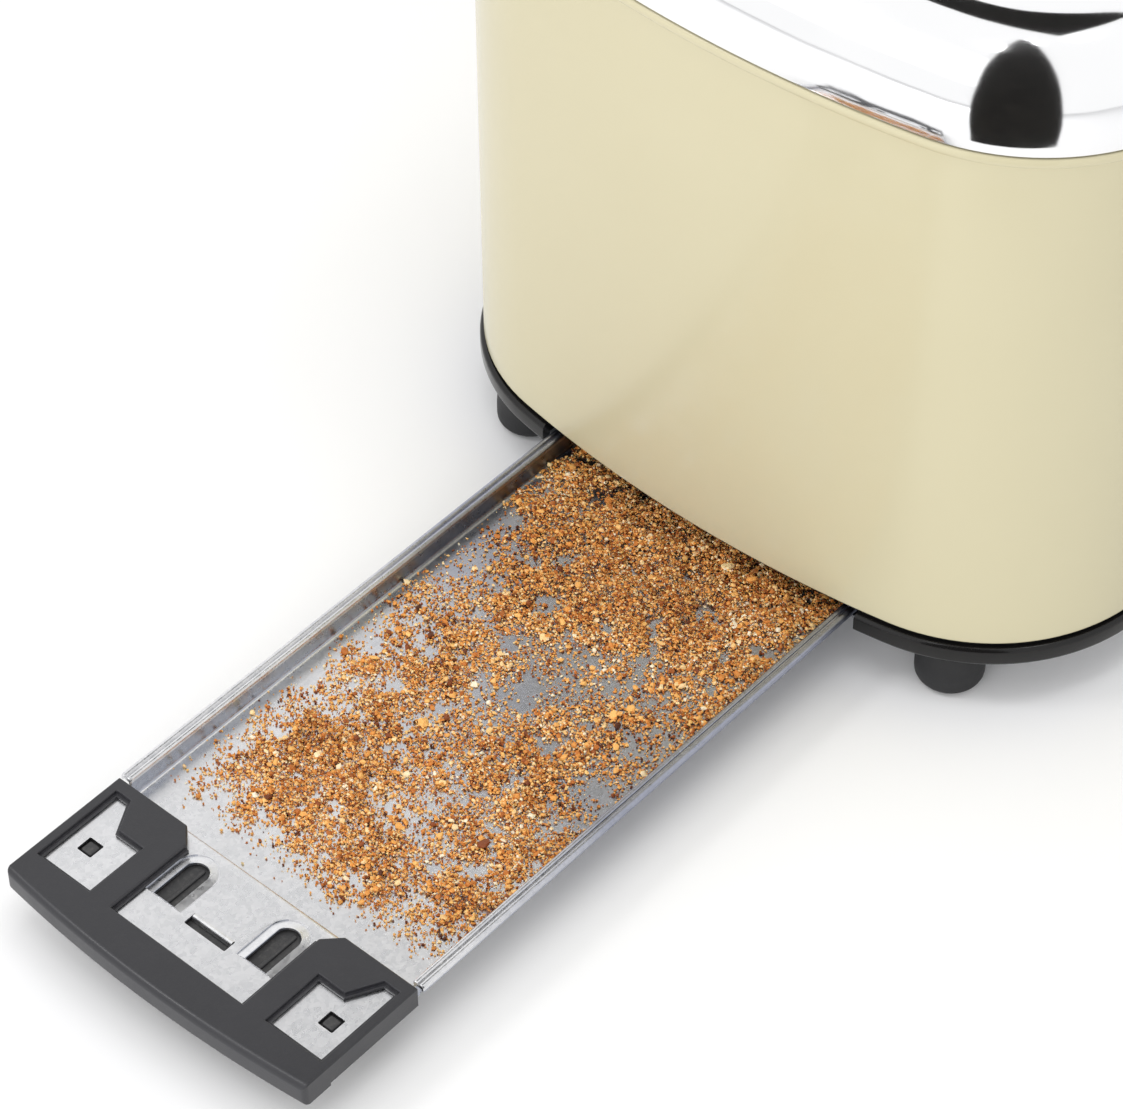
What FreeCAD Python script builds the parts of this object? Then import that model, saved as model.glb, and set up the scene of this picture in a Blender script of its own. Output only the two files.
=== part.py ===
# Pop up toaster for two slices, with its crumb tray drawn out.
# Millimetres, +Z up. The origin is on the surface it stands on, midway between the feet.
# +X is the lever end. -X is the end that the crumb tray comes out of.
import FreeCAD
import Part
import math
import os

# Body plan and heights
body_length = 290.0
body_width = 190.4
end_bow_radius = 320.0
corner_radius = 48.0
stand_height = 14.0
ring_height = 5.2
groove_height = 1.2
shell_height = 144.6
cap_height = 25.0
sheet = 0.8
thin_sheet = 0.6

# Fits
gap = 0.3
running_clearance = 0.05
slip_clearance = 0.1

# Base ring and bottom plate
ring_proud = 1.0
skirt_thickness = 2.5
web_width = 10.5
web_thickness = 3.2
tongue_thickness = 2.2
tongue_height = 7.8
ring_edge_radius = 1.2
boss_height = 6.0
boss_wall = 1.7
base_screw_x = 62.0
vent_half = 10.0
floor_vent_half = 30.0

# Feet
foot_setback = 9.0
foot_angle = 28.0
foot_radius = 8.35
foot_edge_radius = 3.0
foot_neck_radius = 6.5
foot_peg_radius = 2.5

# Shell, chrome cap and slot frame
bead_proud = 0.7
bead_height = 2.2
cap_edge_radius = 20.0
frame_length = 172.0
frame_width = 124.0
frame_corner = 16.0
frame_thickness = 6.4
frame_proud = 0.4
slot_length = 146.0
slot_width = 34.0
slot_corner = 7.0
slot_spacing = 62.0
slot_lip_radius = 1.5
frame_edge_radius = 1.2
frame_post_radius = 3.5
frame_post_inset = 7.0
funnel_depth = 5.0
funnel_wall = 1.8

# Chassis
plate_spacing = 172.0
plate_side_gap = 17.2
plate_bottom = 19.4
frame_post_length = 8.0
deck_length = 188.0
deck_clear = 1.0
flange_side_gap = 2.4
flange_inset = 4.0
flange_reach = 12.0
shelf_bottom = 20.0
shelf_thickness = 1.6
shelf_reach = 33.6

# Heaters and heat shields
mica_thickness = 0.6
mica_bottom = 30.0
mica_head_gap = 4.0
guard_to_mica = 8.0
ribbon_width = 1.6
ribbon_thickness = 0.3
ribbon_rows = 11
ribbon_pitch = 12.0
ribbon_half_length = 76.0
mica_to_shield = 9.0
shield_bottom = 24.0
shield_flange = 6.0

# Bread guards
guard_beyond_slot = 1.0
guard_travel = 8.0
guard_wire_radius = 0.8
guard_pin_radius = 1.0
guard_wires = 11
guard_wire_pitch = 15.0
guard_bottom = 40.0
guard_head_gap = 8.0
guard_low_pin = 44.0
guard_high_pin_gap = 16.0
guard_pin_reach = 2.5
guard_pin_clear = 0.5

# Carriage, lever and spring
lever_travel = 78.0
lift_travel = 8.0
rack_top = 114.0
rack_blade_height = 9.0
rack_blade_thickness = 1.2
rack_bar_width = 16.0
rack_bar_length = 3.0
rack_bars = 7
rack_bar_pitch = 22.0
carriage_gap = 5.6
carriage_thickness = 1.6
carriage_half_width = 38.0
carriage_bottom = 106.0
carriage_top = 128.6
arm_width = 5.0
arm_height = 6.0
arm_bottom = 142.0
riser_half_width = 6.0
guide_reach = 13.6
guide_y = 14.0
guide_radius = 3.0
bush_wall = 1.95
bush_proud = 1.0
ear_length = 19.6
ear_half_width = 6.5
spring_y = -14.0
spring_radius = 4.0
spring_wire_radius = 0.6
spring_pitch = 3.2
anchor_head_gap = 8.0
lever_knob_length = 17.5
lever_knob_width = 36.0
lever_knob_height = 16.0
lever_knob_gap = 2.1

# Electromagnet
magnet_reach = 25.6
magnet_y = -26.0
magnet_width = 16.0
magnet_depth = 10.0
pole_width = 5.0
pole_gap = 0.4
armature_thickness = 2.0

# Control panel, dial and buttons
panel_half_width = 37.0
panel_bottom = 24.5
panel_head_gap = 2.5
panel_corner = 8.0
panel_proud = 1.4
panel_lip = 4.0
lip_thickness = 1.1
lever_slot_clear = 1.0
lever_slot_end_clear = 1.5
bezel_width = 2.5
bezel_proud = 0.9
dial_z = 42.0
dial_radius = 15.0
dial_length = 14.4
dial_gap = 1.2
pot_radius = 8.0
pot_length = 8.2
pot_bush_radius = 4.4
pot_bush_length = 8.0
shaft_radius = 3.0
button_y = 27.0
button_z = (118.0, 100.0, 82.0)
button_names = ("cancel_button", "reheat_button", "defrost_button")
button_width = 13.0
button_height = 10.0
button_clear = 0.4
button_proud = 2.5
button_travel = 2.0
button_stem_radius = 2.0

# Circuit board and wiring
board_setback = 23.8
board_thickness = 1.6
board_inner_y = 9.0
board_outer_y = 38.0
board_bottom = 30.0
board_top = 134.0
board_foot_y = -22.0
board_foot_top = 54.0
standoff_radius = 2.6
switch_size = 6.0
switch_height = 3.5
wire_radius = 1.2
wire_lift = 2.2
wire_pitch = 3.4
wire_inset = 14.2
wire_rise = 24.8
wire_bend = 6.0
terminal_x = -20.0
terminal_length = 22.0
terminal_width = 10.0
terminal_inset = 17.7
terminal_height = 7.6
switch_block_y = 27.0

# Cord inlet
cord_bush_x = -62.0
cord_bush_inset = 20.2
cord_bore_radius = 3.6
cord_bush_radius = 6.5
cord_flange_radius = 8.5
cord_flange_thickness = 2.0
cord_bush_height = 8.5

# Screws
screw_radius = 1.5
screw_head_radius = 2.8
screw_head_height = 1.6
recess_width = 0.7

# Crumb tray
tray_width = 92.0
tray_length = 222.7
tray_out = 141.7
tray_floor = 12.5
tray_rim_top = 18.2
tray_rim_width = 2.6
tray_rim_lip = 1.6
tray_side_clear = 0.8
tray_end_clear = 1.8
flange_top = 16.5
handle_side_gap = 0.7
handle_bottom = 11.3
handle_top = 18.3
handle_bow_radius = 375.0
handle_bar_depth = 10.3
handle_depth = 37.6
handle_wall = 2.3
handle_leg_inner = 20.0
handle_chamfer = 4.0
flange_grip = 4.6
leg_rib = 6.6
window_step = 11.0
window_margin = 3.2
window_step_inset = 11.0
window_deep_inset = 6.8
peg_reach = 9.7
peg_inset = 8.7
peg_half = 1.6
peg_clear = 0.5
tongue_reach = 17.6
tongue_y = 13.9
lock_slot_reach = 10.0
lock_slot_half = 6.1
handle_closed_proud = 0.5
tray_ramp_length = 2.0
tray_edge_gap = 1.0
trough_setback = 9.0

V = FreeCAD.Vector
X_AXIS = V(1, 0, 0)
Y_AXIS = V(0, 1, 0)
Z_AXIS = V(0, 0, 1)

# Levels and faces that follow from the sizes above
half_length = body_length / 2
half_width = body_width / 2
bow_x = half_length - end_bow_radius
corner_y = half_width - corner_radius
corner_x = bow_x + math.sqrt((end_bow_radius - corner_radius) ** 2 - corner_y ** 2)
ring_top = stand_height + ring_height
shell_bottom = ring_top + groove_height
shell_top = shell_bottom + shell_height
cap_top = shell_top + cap_height
web_bottom = ring_top - web_thickness
bottom_plate_low = web_bottom - sheet
slot_y = slot_spacing / 2
frame_top = cap_top + frame_proud
frame_bottom = frame_top - frame_thickness
deck_bottom = frame_bottom - frame_post_length
plate_half = half_width - plate_side_gap
plate_x = plate_spacing / 2
plate_out = plate_x + sheet / 2
plate_in = plate_x - sheet / 2
guard_offset = slot_width / 2 + guard_beyond_slot
mica_inner_y = slot_y - guard_offset - guard_to_mica
mica_outer_y = slot_y + guard_offset + guard_to_mica
mica_top = deck_bottom - mica_head_gap
shield_y = mica_outer_y + mica_to_shield
guard_top = deck_bottom - guard_head_gap
guard_high_pin = deck_bottom - guard_high_pin_gap
anchor_bottom = deck_bottom - anchor_head_gap
carriage_x = plate_out + carriage_gap
guide_x = plate_out + guide_reach
ear_reach = plate_out + ear_length
magnet_x = plate_out + magnet_reach
bush_radius = guide_radius + running_clearance + bush_wall
panel_top = shell_top - panel_head_gap
board_x = half_length - board_setback
wire_y = half_width - wire_inset
terminal_y = half_width - terminal_inset
cord_bush_y = half_width - cord_bush_inset
panel_outer = panel_proud
panel_inner = -sheet - gap - lip_thickness
panel_front_x = half_length + panel_proud
switch_block_x = board_x - 12
guard_overshoot = lift_travel * guard_travel / lever_travel
arm_z = arm_bottom + arm_height / 2
arm_end = panel_front_x + lever_knob_gap + lever_knob_length / 2
tray_half = tray_width / 2
tray_front = -half_length - tray_out
tray_back = tray_front + tray_length
tray_inner = tray_half - tray_rim_width
handle_half = tray_half - handle_side_gap
handle_back = tray_front - tray_edge_gap
handle_front = handle_back - handle_depth
bar_back = handle_front + handle_bar_depth
tray_travel = -half_length - ring_proud - handle_closed_proud - handle_front
trough_top = handle_bottom - gap
trough_low = trough_top - sheet
trough_inner = tray_half + tray_side_clear
trough_outer = trough_inner + sheet
trough_end = tray_back + tray_travel + tray_end_clear
mouth_half = trough_outer + gap
flange_inner = trough_outer + flange_side_gap
flange_outer = plate_half - flange_inset
vent_y = (trough_outer + half_width) / 2
trough_mouth = -half_length + trough_setback


def box(x0, x1, y0, y1, z0, z1):
    return Part.makeBox(x1 - x0, y1 - y0, z1 - z0, V(x0, y0, z0))


def rod_x(radius, y, z, x0, x1):
    return Part.makeCylinder(radius, x1 - x0, V(x0, y, z), X_AXIS)


def rod_z(radius, x, y, z0, z1):
    return Part.makeCylinder(radius, z1 - z0, V(x, y, z0), Z_AXIS)


def join(shapes):
    whole = shapes[0].multiFuse(shapes[1:])
    return whole.removeSplitter()


def edges_along(shape, axis):
    """Straight edges parallel to an axis."""
    found = []
    for edge in shape.Edges:
        if not isinstance(edge.Curve, Part.Line):
            continue
        if abs(edge.Curve.Direction.dot(axis)) > 0.999:
            found.append(edge)
    return found


def edges_at_z(shape, z):
    found = []
    for edge in shape.Edges:
        if abs(edge.BoundBox.ZMin - z) < 1e-4 and abs(edge.BoundBox.ZMax - z) < 1e-4:
            found.append(edge)
    return found


def edges_on_outline(shape, offset):
    """Level edges that lie on the plan outline moved out by offset."""
    target = plan_wire(offset, 0)
    found = []
    for edge in shape.Edges:
        if edge.BoundBox.ZLength > 1e-4:
            continue
        middle = edge.valueAt((edge.FirstParameter + edge.LastParameter) / 2)
        flat = Part.Vertex(V(middle.x, middle.y, 0))
        if flat.distToShape(target)[0] < 1e-3:
            found.append(edge)
    return found


def rounded_z(x0, x1, y0, y1, z0, z1, radius):
    """A box whose upright edges are rounded."""
    solid = box(x0, x1, y0, y1, z0, z1)
    return solid.makeFillet(radius, edges_along(solid, Z_AXIS))


def rounded_x(x0, x1, y0, y1, z0, z1, radius):
    """A box whose edges along X are rounded."""
    solid = box(x0, x1, y0, y1, z0, z1)
    return solid.makeFillet(radius, edges_along(solid, X_AXIS))


def prism(points, z0, z1):
    """An upright prism over a plan polygon."""
    ring = [V(x, y, z0) for x, y in points]
    face = Part.Face(Part.makePolygon(ring + ring[:1]))
    return face.extrude(V(0, 0, z1 - z0))


def arc_about(centre, radius, start, end, z):
    """An arc from angle start to angle end, in radians."""
    marks = []
    for angle in (start, (start + end) / 2, end):
        marks.append(V(centre[0] + radius * math.cos(angle), centre[1] + radius * math.sin(angle), z))
    return Part.Arc(*marks).toShape()


def plan_wire(offset, z):
    """The body's plan outline: bowed ends, round corners and straight sides, moved out by offset."""
    bow = end_bow_radius + offset
    corner = corner_radius + offset
    turn = math.atan2(corner_y, corner_x - bow_x)
    side = half_width + offset
    quarter = math.pi / 2
    edges = [
        arc_about((bow_x, 0), bow, -turn, turn, z),
        arc_about((corner_x, corner_y), corner, turn, quarter, z),
        Part.LineSegment(V(corner_x, side, z), V(-corner_x, side, z)).toShape(),
        arc_about((-corner_x, corner_y), corner, quarter, math.pi - turn, z),
        arc_about((-bow_x, 0), bow, math.pi - turn, math.pi + turn, z),
        arc_about((-corner_x, -corner_y), corner, math.pi + turn, 3 * quarter, z),
        Part.LineSegment(V(-corner_x, -side, z), V(corner_x, -side, z)).toShape(),
        arc_about((corner_x, -corner_y), corner, -quarter, -turn, z),
    ]
    return Part.Wire(Part.__sortEdges__(edges))


def plan_solid(offset, z0, z1):
    return Part.Face(plan_wire(offset, z0)).extrude(V(0, 0, z1 - z0))


def plan_ring(outer, inner, z0, z1):
    return plan_solid(outer, z0, z1).cut(plan_solid(inner, z0, z1))


def end_x(y, offset):
    """Where the bowed lever end stands at a given y."""
    bow = end_bow_radius + offset
    return bow_x + math.sqrt(bow ** 2 - y ** 2)


def screw(x, y, z, axis, length):
    """A pan head screw. The head stands behind the point and the shank runs along the axis."""
    head = Part.makeCylinder(screw_head_radius, screw_head_height, V(0, 0, -screw_head_height), Z_AXIS)
    head = head.makeFillet(screw_head_height / 2, edges_at_z(head, -screw_head_height))
    shank = Part.makeCylinder(screw_radius - running_clearance, length, V(0, 0, 0), Z_AXIS)
    low = -screw_head_height
    deep = low + screw_head_height / 2
    reach = screw_head_radius * 0.6
    slots = box(-reach, reach, -recess_width / 2, recess_width / 2, low, deep)
    slots = slots.fuse(box(-recess_width / 2, recess_width / 2, -reach, reach, low, deep))
    solid = head.fuse(shank).cut(slots).removeSplitter()
    solid.Placement = FreeCAD.Placement(V(x, y, z), FreeCAD.Rotation(Z_AXIS, axis))
    return solid


def foot_places():
    """Points inside the round corners, one at each."""
    reach = corner_radius - foot_setback
    x = corner_x + reach * math.cos(math.radians(foot_angle))
    y = corner_y + reach * math.sin(math.radians(foot_angle))
    return [(side_x * x, side_y * y) for side_x in (-1, 1) for side_y in (-1, 1)]


def base_screw_places():
    """Points on the middle of the ring's web."""
    middle = ring_proud - skirt_thickness - web_width / 2
    places = []
    for side_y in (-1, 1):
        for x in (-base_screw_x, base_screw_x):
            places.append((x, side_y * (half_width + middle)))
        places.append((end_x(corner_y, middle), side_y * corner_y))
    return places


def chassis_screw_places():
    reach = plate_out + flange_reach / 2
    middle = (flange_inner + flange_outer) / 2
    return [(side_x * reach, side_y * middle) for side_x in (-1, 1) for side_y in (-1, 1)]


def deck_screw_places():
    x = frame_length / 2 - frame_post_inset
    y = frame_width / 2 - frame_post_inset
    return [(side_x * x, side_y * y) for side_x in (-1, 1) for side_y in (-1, 1)]


def board_screw_places():
    return [(34.0, 33.2), (34.0, 129.0), (13.0, 129.0), (-18.0, 48.0)]


def panel_zone(grow, x0, x1):
    """The rounded window that the control panel fills, seen along X."""
    half = panel_half_width + grow
    low = panel_bottom - grow
    high = panel_top + grow
    return rounded_x(x0, x1, -half, half, low, high, panel_corner + grow)


def make_shell():
    wall = plan_ring(0, -sheet, shell_bottom, shell_top)
    bead = plan_ring(bead_proud, -sheet, shell_top - bead_height, shell_top)
    bead = bead.makeFillet(bead_proud * 0.6, edges_on_outline(bead, bead_proud))
    shell = join([wall, bead])
    return shell.cut(panel_zone(gap, half_length / 2, body_length))


def make_chrome_top():
    low = shell_top + gap
    outer = plan_solid(gap, low, cap_top)
    outer = outer.makeFillet(cap_edge_radius, edges_at_z(outer, cap_top))
    inner = plan_solid(gap - sheet, low, cap_top - sheet)
    inner = inner.makeFillet(cap_edge_radius - sheet, edges_at_z(inner, cap_top - sheet))
    x = frame_length / 2 + gap
    y = frame_width / 2 + gap
    window = rounded_z(-x, x, -y, y, low, cap_top + 1, frame_corner + gap)
    return outer.cut(inner).cut(window)


def slot_opening(y, grow, z0, z1):
    x = slot_length / 2 + grow
    half = slot_width / 2 + grow
    return rounded_z(-x, x, y - half, y + half, z0, z1, slot_corner + grow)


def make_slot_frame():
    x = frame_length / 2
    y = frame_width / 2
    frame = rounded_z(-x, x, -y, y, frame_bottom, frame_top, frame_corner)
    frame = frame.makeFillet(frame_edge_radius, edges_at_z(frame, frame_top))
    pieces = [frame]
    for side in (-1, 1):
        pieces.append(slot_opening(side * slot_y, funnel_wall, frame_bottom - funnel_depth, frame_bottom))
    for x, y in deck_screw_places():
        pieces.append(rod_z(frame_post_radius, x, y, deck_bottom + sheet, frame_bottom))
    frame = join(pieces)
    for side in (-1, 1):
        hole = slot_opening(side * slot_y, 0, frame_bottom - funnel_depth, frame_top)
        frame = frame.cut(hole)
    rims = []
    for edge in edges_at_z(frame, frame_top):
        middle = edge.CenterOfMass
        beside = abs(abs(middle.y) - slot_y) < slot_width / 2 + gap
        if beside and abs(middle.x) < slot_length / 2 + gap:
            rims.append(edge)
    frame = frame.makeFillet(slot_lip_radius, rims)
    for x, y in deck_screw_places():
        frame = frame.cut(rod_z(screw_radius, x, y, deck_bottom, frame_bottom))
    return frame


def make_base_ring():
    skirt = plan_ring(ring_proud, ring_proud - skirt_thickness, stand_height, ring_top)
    skirt = skirt.makeFillet(ring_edge_radius, edges_on_outline(skirt, ring_proud))
    web_edge = ring_proud - skirt_thickness
    web = plan_ring(web_edge, web_edge - web_width, web_bottom, ring_top)
    tongue_edge = -sheet - gap
    tongue = plan_ring(tongue_edge, tongue_edge - tongue_thickness, ring_top, ring_top + tongue_height)
    pieces = [skirt, web, tongue]
    for x, y in base_screw_places():
        pieces.append(rod_z(screw_radius + boss_wall, x, y, ring_top, ring_top + boss_height))
    ring = join(pieces)
    ring = ring.cut(box(-body_length, -half_length / 2, -mouth_half, mouth_half, 0, ring_top))
    lip_half = panel_half_width + panel_lip
    ring = ring.cut(box(half_length / 2, body_length, -lip_half, lip_half, ring_top, shell_top))
    for x, y in base_screw_places():
        ring = ring.cut(rod_z(screw_radius, x, y, web_bottom, ring_top + boss_height - 1))
    for x, y in foot_places():
        ring = ring.cut(rod_z(foot_peg_radius + slip_clearance, x, y, web_bottom, ring_top))
    return ring


def make_bottom_plate():
    plate = plan_solid(ring_proud - skirt_thickness - gap, bottom_plate_low, web_bottom)
    plate = plate.cut(box(-body_length, trough_end + sheet, -trough_outer, trough_outer, 0, ring_top))
    length = (trough_mouth, trough_end + sheet)
    floor = box(length[0], length[1], -trough_outer, trough_outer, trough_low, trough_top)
    pieces = [plate, floor]
    for side in (-1, 1):
        walls = sorted((side * trough_inner, side * trough_outer))
        pieces.append(box(length[0], length[1], walls[0], walls[1], trough_low, web_bottom))
    pieces.append(box(trough_end, length[1], -trough_outer, trough_outer, trough_low, web_bottom))
    plate = join(pieces)
    for x, y in foot_places():
        plate = plate.cut(rod_z(foot_peg_radius + slip_clearance, x, y, bottom_plate_low, web_bottom))
    for x, y in base_screw_places() + chassis_screw_places():
        plate = plate.cut(rod_z(screw_radius + slip_clearance, x, y, bottom_plate_low, web_bottom))
    inlet = rod_z(cord_bush_radius + slip_clearance, cord_bush_x, cord_bush_y, bottom_plate_low, web_bottom)
    plate = plate.cut(inlet)
    for step in range(7):
        x = -30 + step * 10
        for side in (-1, 1):
            y = side * vent_y
            vent = rounded_z(x - 1.5, x + 1.5, y - vent_half, y + vent_half, 0, ring_top, 1.4)
            plate = plate.cut(vent)
        plate = plate.cut(rounded_z(x - 1.5, x + 1.5, -floor_vent_half, floor_vent_half, 0, ring_top, 1.4))
    return plate


def make_foot(x, y):
    edge = foot_edge_radius
    side = foot_radius
    shoulder = stand_height - 0.4
    turn = math.sin(math.pi / 4)
    bend = Part.Arc(V(side - edge, 0, 0), V(side - edge + edge * turn, 0, edge - edge * turn), V(side, 0, edge))
    ledge = edge / 2
    brow = Part.Arc(
        V(side, 0, shoulder - ledge),
        V(side - ledge + ledge * turn, 0, shoulder - ledge + ledge * turn),
        V(side - ledge, 0, shoulder),
    )
    line = []
    corners = [
        V(side - ledge, 0, shoulder),
        V(foot_neck_radius, 0, shoulder),
        V(foot_neck_radius, 0, bottom_plate_low),
        V(foot_peg_radius, 0, bottom_plate_low),
        V(foot_peg_radius, 0, ring_top),
        V(0, 0, ring_top),
        V(0, 0, 0),
        V(side - edge, 0, 0),
    ]
    for start, end in zip(corners, corners[1:]):
        line.append(Part.LineSegment(start, end).toShape())
    upright = Part.LineSegment(V(side, 0, edge), V(side, 0, shoulder - ledge)).toShape()
    edges = Part.__sortEdges__(line + [bend.toShape(), brow.toShape(), upright])
    foot = Part.Face(Part.Wire(edges)).revolve(V(0, 0, 0), Z_AXIS, 360)
    foot.translate(V(x, y, 0))
    return foot


def guard_centre_lines():
    """Name, rest y and inward direction of each bread guard."""
    lines = []
    for side, side_name in ((1, "left"), (-1, "right")):
        lines.append(("guard_outer_" + side_name, side * (slot_y + guard_offset), -side))
        lines.append(("guard_inner_" + side_name, side * (slot_y - guard_offset), side))
    return lines


def make_end_plate(end):
    """End +1 is the lever end plate and -1 is the tray end plate."""
    xs = sorted((end * plate_in, end * plate_out))
    half = plate_half
    plate = box(xs[0], xs[1], -half, half, plate_bottom, deck_bottom)
    pieces = [plate]
    for side in (-1, 1):
        ys = sorted((side * flange_inner, side * flange_outer))
        pieces.append(box(xs[0], xs[1], ys[0], ys[1], web_bottom, plate_bottom))
        tip = sorted((end * plate_in, end * (plate_out + flange_reach)))
        pieces.append(box(tip[0], tip[1], ys[0], ys[1], web_bottom, web_bottom + sheet))
    if end > 0:
        shelf_top = shelf_bottom + shelf_thickness
        shelf_low_y = magnet_y - magnet_width / 2 - 2
        shelf_high_y = guide_y + ear_half_width
        pieces.append(box(plate_out, plate_out + shelf_reach, shelf_low_y, shelf_high_y, shelf_bottom, shelf_top))
        top = anchor_bottom + shelf_thickness
        for y in (guide_y, spring_y):
            pieces.append(box(plate_out, ear_reach, y - ear_half_width, y + ear_half_width, anchor_bottom, top))
    plate = join(pieces)
    if end > 0:
        plate = plate.cut(rod_z(guide_radius + running_clearance, guide_x, guide_y, shelf_bottom - 1, 200))
    low = rack_top - lever_travel - rack_blade_height - 3
    high = rack_top + lift_travel + 3
    for side in (-1, 1):
        slot = rack_blade_thickness + 2
        y = side * slot_y
        plate = plate.cut(box(xs[0] - 1, xs[1] + 1, y - slot / 2, y + slot / 2, low, high))
    clear = guard_pin_radius + guard_pin_clear
    for name, y, inward in guard_centre_lines():
        ys = sorted((y - inward * (clear + guard_overshoot), y + inward * (guard_travel + clear)))
        for z in (guard_low_pin, guard_high_pin):
            plate = plate.cut(box(xs[0] - 1, xs[1] + 1, ys[0], ys[1], z - clear, z + clear))
    for x, y in chassis_screw_places():
        plate = plate.cut(rod_z(screw_radius, x, y, web_bottom, plate_bottom))
    return plate


def make_top_deck():
    x = deck_length / 2
    y = plate_half
    deck = box(-x, x, -y, y, deck_bottom, deck_bottom + sheet)
    for side in (-1, 1):
        deck = deck.cut(slot_opening(side * slot_y, deck_clear, deck_bottom, deck_bottom + sheet))
    for hole_x, hole_y in deck_screw_places():
        deck = deck.cut(rod_z(screw_radius + slip_clearance, hole_x, hole_y, deck_bottom, cap_top))
    return deck


def make_heat_shield(side):
    x = plate_in - gap
    ys = sorted((side * shield_y, side * (shield_y + thin_sheet)))
    wall = box(-x, x, ys[0], ys[1], shield_bottom, mica_top)
    turned = sorted((side * shield_y, side * (shield_y - shield_flange)))
    low = box(-x, x, turned[0], turned[1], shield_bottom, shield_bottom + thin_sheet)
    high = box(-x, x, turned[0], turned[1], mica_top - thin_sheet, mica_top)
    return join([wall, low, high])


def heater_lines():
    """Name, middle y and the direction of the bread for each mica board."""
    lines = []
    for side, side_name in ((1, "left"), (-1, "right")):
        lines.append(("outer_" + side_name, side * mica_outer_y, -side))
        lines.append(("inner_" + side_name, side * mica_inner_y, side))
    return lines


def make_mica(y):
    x = plate_in - gap
    half = mica_thickness / 2
    return box(-x, x, y - half, y + half, mica_bottom, mica_top)


def make_winding(y, toward):
    """A flat ribbon laid in rows on the bread side of a mica board."""
    face = y + toward * mica_thickness / 2
    ys = sorted((face, face + toward * ribbon_thickness))
    middle = (mica_bottom + mica_top) / 2
    first = middle - ribbon_pitch * (ribbon_rows - 1) / 2
    pieces = []
    for row in range(ribbon_rows):
        z = first + row * ribbon_pitch
        half = ribbon_half_length
        pieces.append(box(-half, half, ys[0], ys[1], z, z + ribbon_width))
        if row + 1 < ribbon_rows:
            x = half - ribbon_width if row % 2 else -half
            pieces.append(box(x, x + ribbon_width, ys[0], ys[1], z, z + ribbon_pitch + ribbon_width))
    return join(pieces)


def make_guard(y):
    pieces = []
    reach = plate_out + guard_pin_reach
    for z in (guard_low_pin, guard_high_pin):
        pieces.append(rod_x(guard_pin_radius, y, z, -reach, reach))
    inner = plate_in - 1
    pieces.append(rod_x(guard_wire_radius, y, (guard_low_pin + guard_high_pin) / 2, -inner, inner))
    first = -guard_wire_pitch * (guard_wires - 1) / 2
    for step in range(guard_wires):
        x = first + step * guard_wire_pitch
        pieces.append(rod_z(guard_wire_radius, x, y, guard_bottom, guard_top))
    return join(pieces)


def make_guide_rod():
    return rod_z(guide_radius, guide_x, guide_y, shelf_bottom, anchor_bottom + shelf_thickness + 1)


def make_spring():
    """An extension spring from the carriage's ear to the anchor tab."""
    low = carriage_top + spring_wire_radius + gap
    high = anchor_bottom - spring_wire_radius - gap
    coil = Part.makeHelix(spring_pitch, high - low, spring_radius)
    start = Part.Circle(V(spring_radius, 0, 0), V(0, 1, 0), spring_wire_radius)
    section = Part.Wire([start.toShape()])
    spring = Part.Wire(coil.Edges).makePipeShell([section], True, True)
    spring.translate(V(guide_x, spring_y, low))
    return spring


def make_carriage_bracket():
    x0 = carriage_x
    x1 = carriage_x + carriage_thickness
    half = carriage_half_width
    arm_top = arm_bottom + arm_height
    side = arm_width / 2
    ear = carriage_thickness
    wide = ear_half_width
    bush_low = carriage_bottom
    pieces = [
        box(x0, x1, -half, half, carriage_bottom, carriage_top),
        box(x0, x1, -riser_half_width, riser_half_width, carriage_top, arm_top),
        box(x1, arm_end, -side, side, arm_bottom, arm_top),
        box(x1, ear_reach, guide_y - wide, guide_y + wide, bush_low, bush_low + ear),
    ]
    ear_low = carriage_top - ear
    for reach, y in ((ear_reach, guide_y), (ear_reach, spring_y), (magnet_x + magnet_depth / 2, magnet_y)):
        pieces.append(box(x1, reach, y - wide, y + wide, ear_low, carriage_top))
    bracket = join(pieces)
    bracket = bracket.cut(rod_z(bush_radius, guide_x, guide_y, 0, carriage_top))
    for side_y in (-1, 1):
        y = side_y * slot_y
        blade = rack_blade_thickness / 2 + slip_clearance
        low = rack_top - rack_blade_height - slip_clearance
        bracket = bracket.cut(box(x0 - 1, x1 + 1, y - blade, y + blade, low, rack_top + slip_clearance))
    return bracket


def make_carriage_bush():
    low = carriage_bottom - bush_proud
    high = carriage_top + bush_proud
    bush = rod_z(bush_radius, guide_x, guide_y, low, high)
    return bush.cut(rod_z(guide_radius + running_clearance, guide_x, guide_y, low, high))


def make_lifter(side):
    """A blade with cross bars that the bread stands on."""
    y = side * slot_y
    blade = rack_blade_thickness / 2
    low = rack_top - rack_blade_height
    pieces = [box(-plate_out - 3, carriage_x + carriage_thickness + 2, y - blade, y + blade, low, rack_top)]
    first = -rack_bar_pitch * (rack_bars - 1) / 2
    for step in range(rack_bars):
        x = first + step * rack_bar_pitch
        half = rack_bar_width / 2
        bar = box(x - rack_bar_length / 2, x + rack_bar_length / 2, y - half, y + half, rack_top - 1.2, rack_top)
        pieces.append(bar)
    return join(pieces)


def make_armature():
    top = carriage_top - carriage_thickness
    x = magnet_depth / 2
    y = magnet_width / 2
    return box(magnet_x - x, magnet_x + x, magnet_y - y, magnet_y + y, top - armature_thickness, top)


def make_magnet_core():
    """A U shaped iron core that stands on the shelf of the lever end plate."""
    low = shelf_bottom + shelf_thickness
    high = carriage_top - carriage_thickness - armature_thickness - lever_travel - pole_gap
    x = magnet_depth / 2
    y = magnet_width / 2
    core = box(magnet_x - x, magnet_x + x, magnet_y - y, magnet_y + y, low, high)
    space = box(magnet_x - x, magnet_x + x, magnet_y - y + pole_width, magnet_y + y - pole_width, low + 5, high)
    return core.cut(space)


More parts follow.
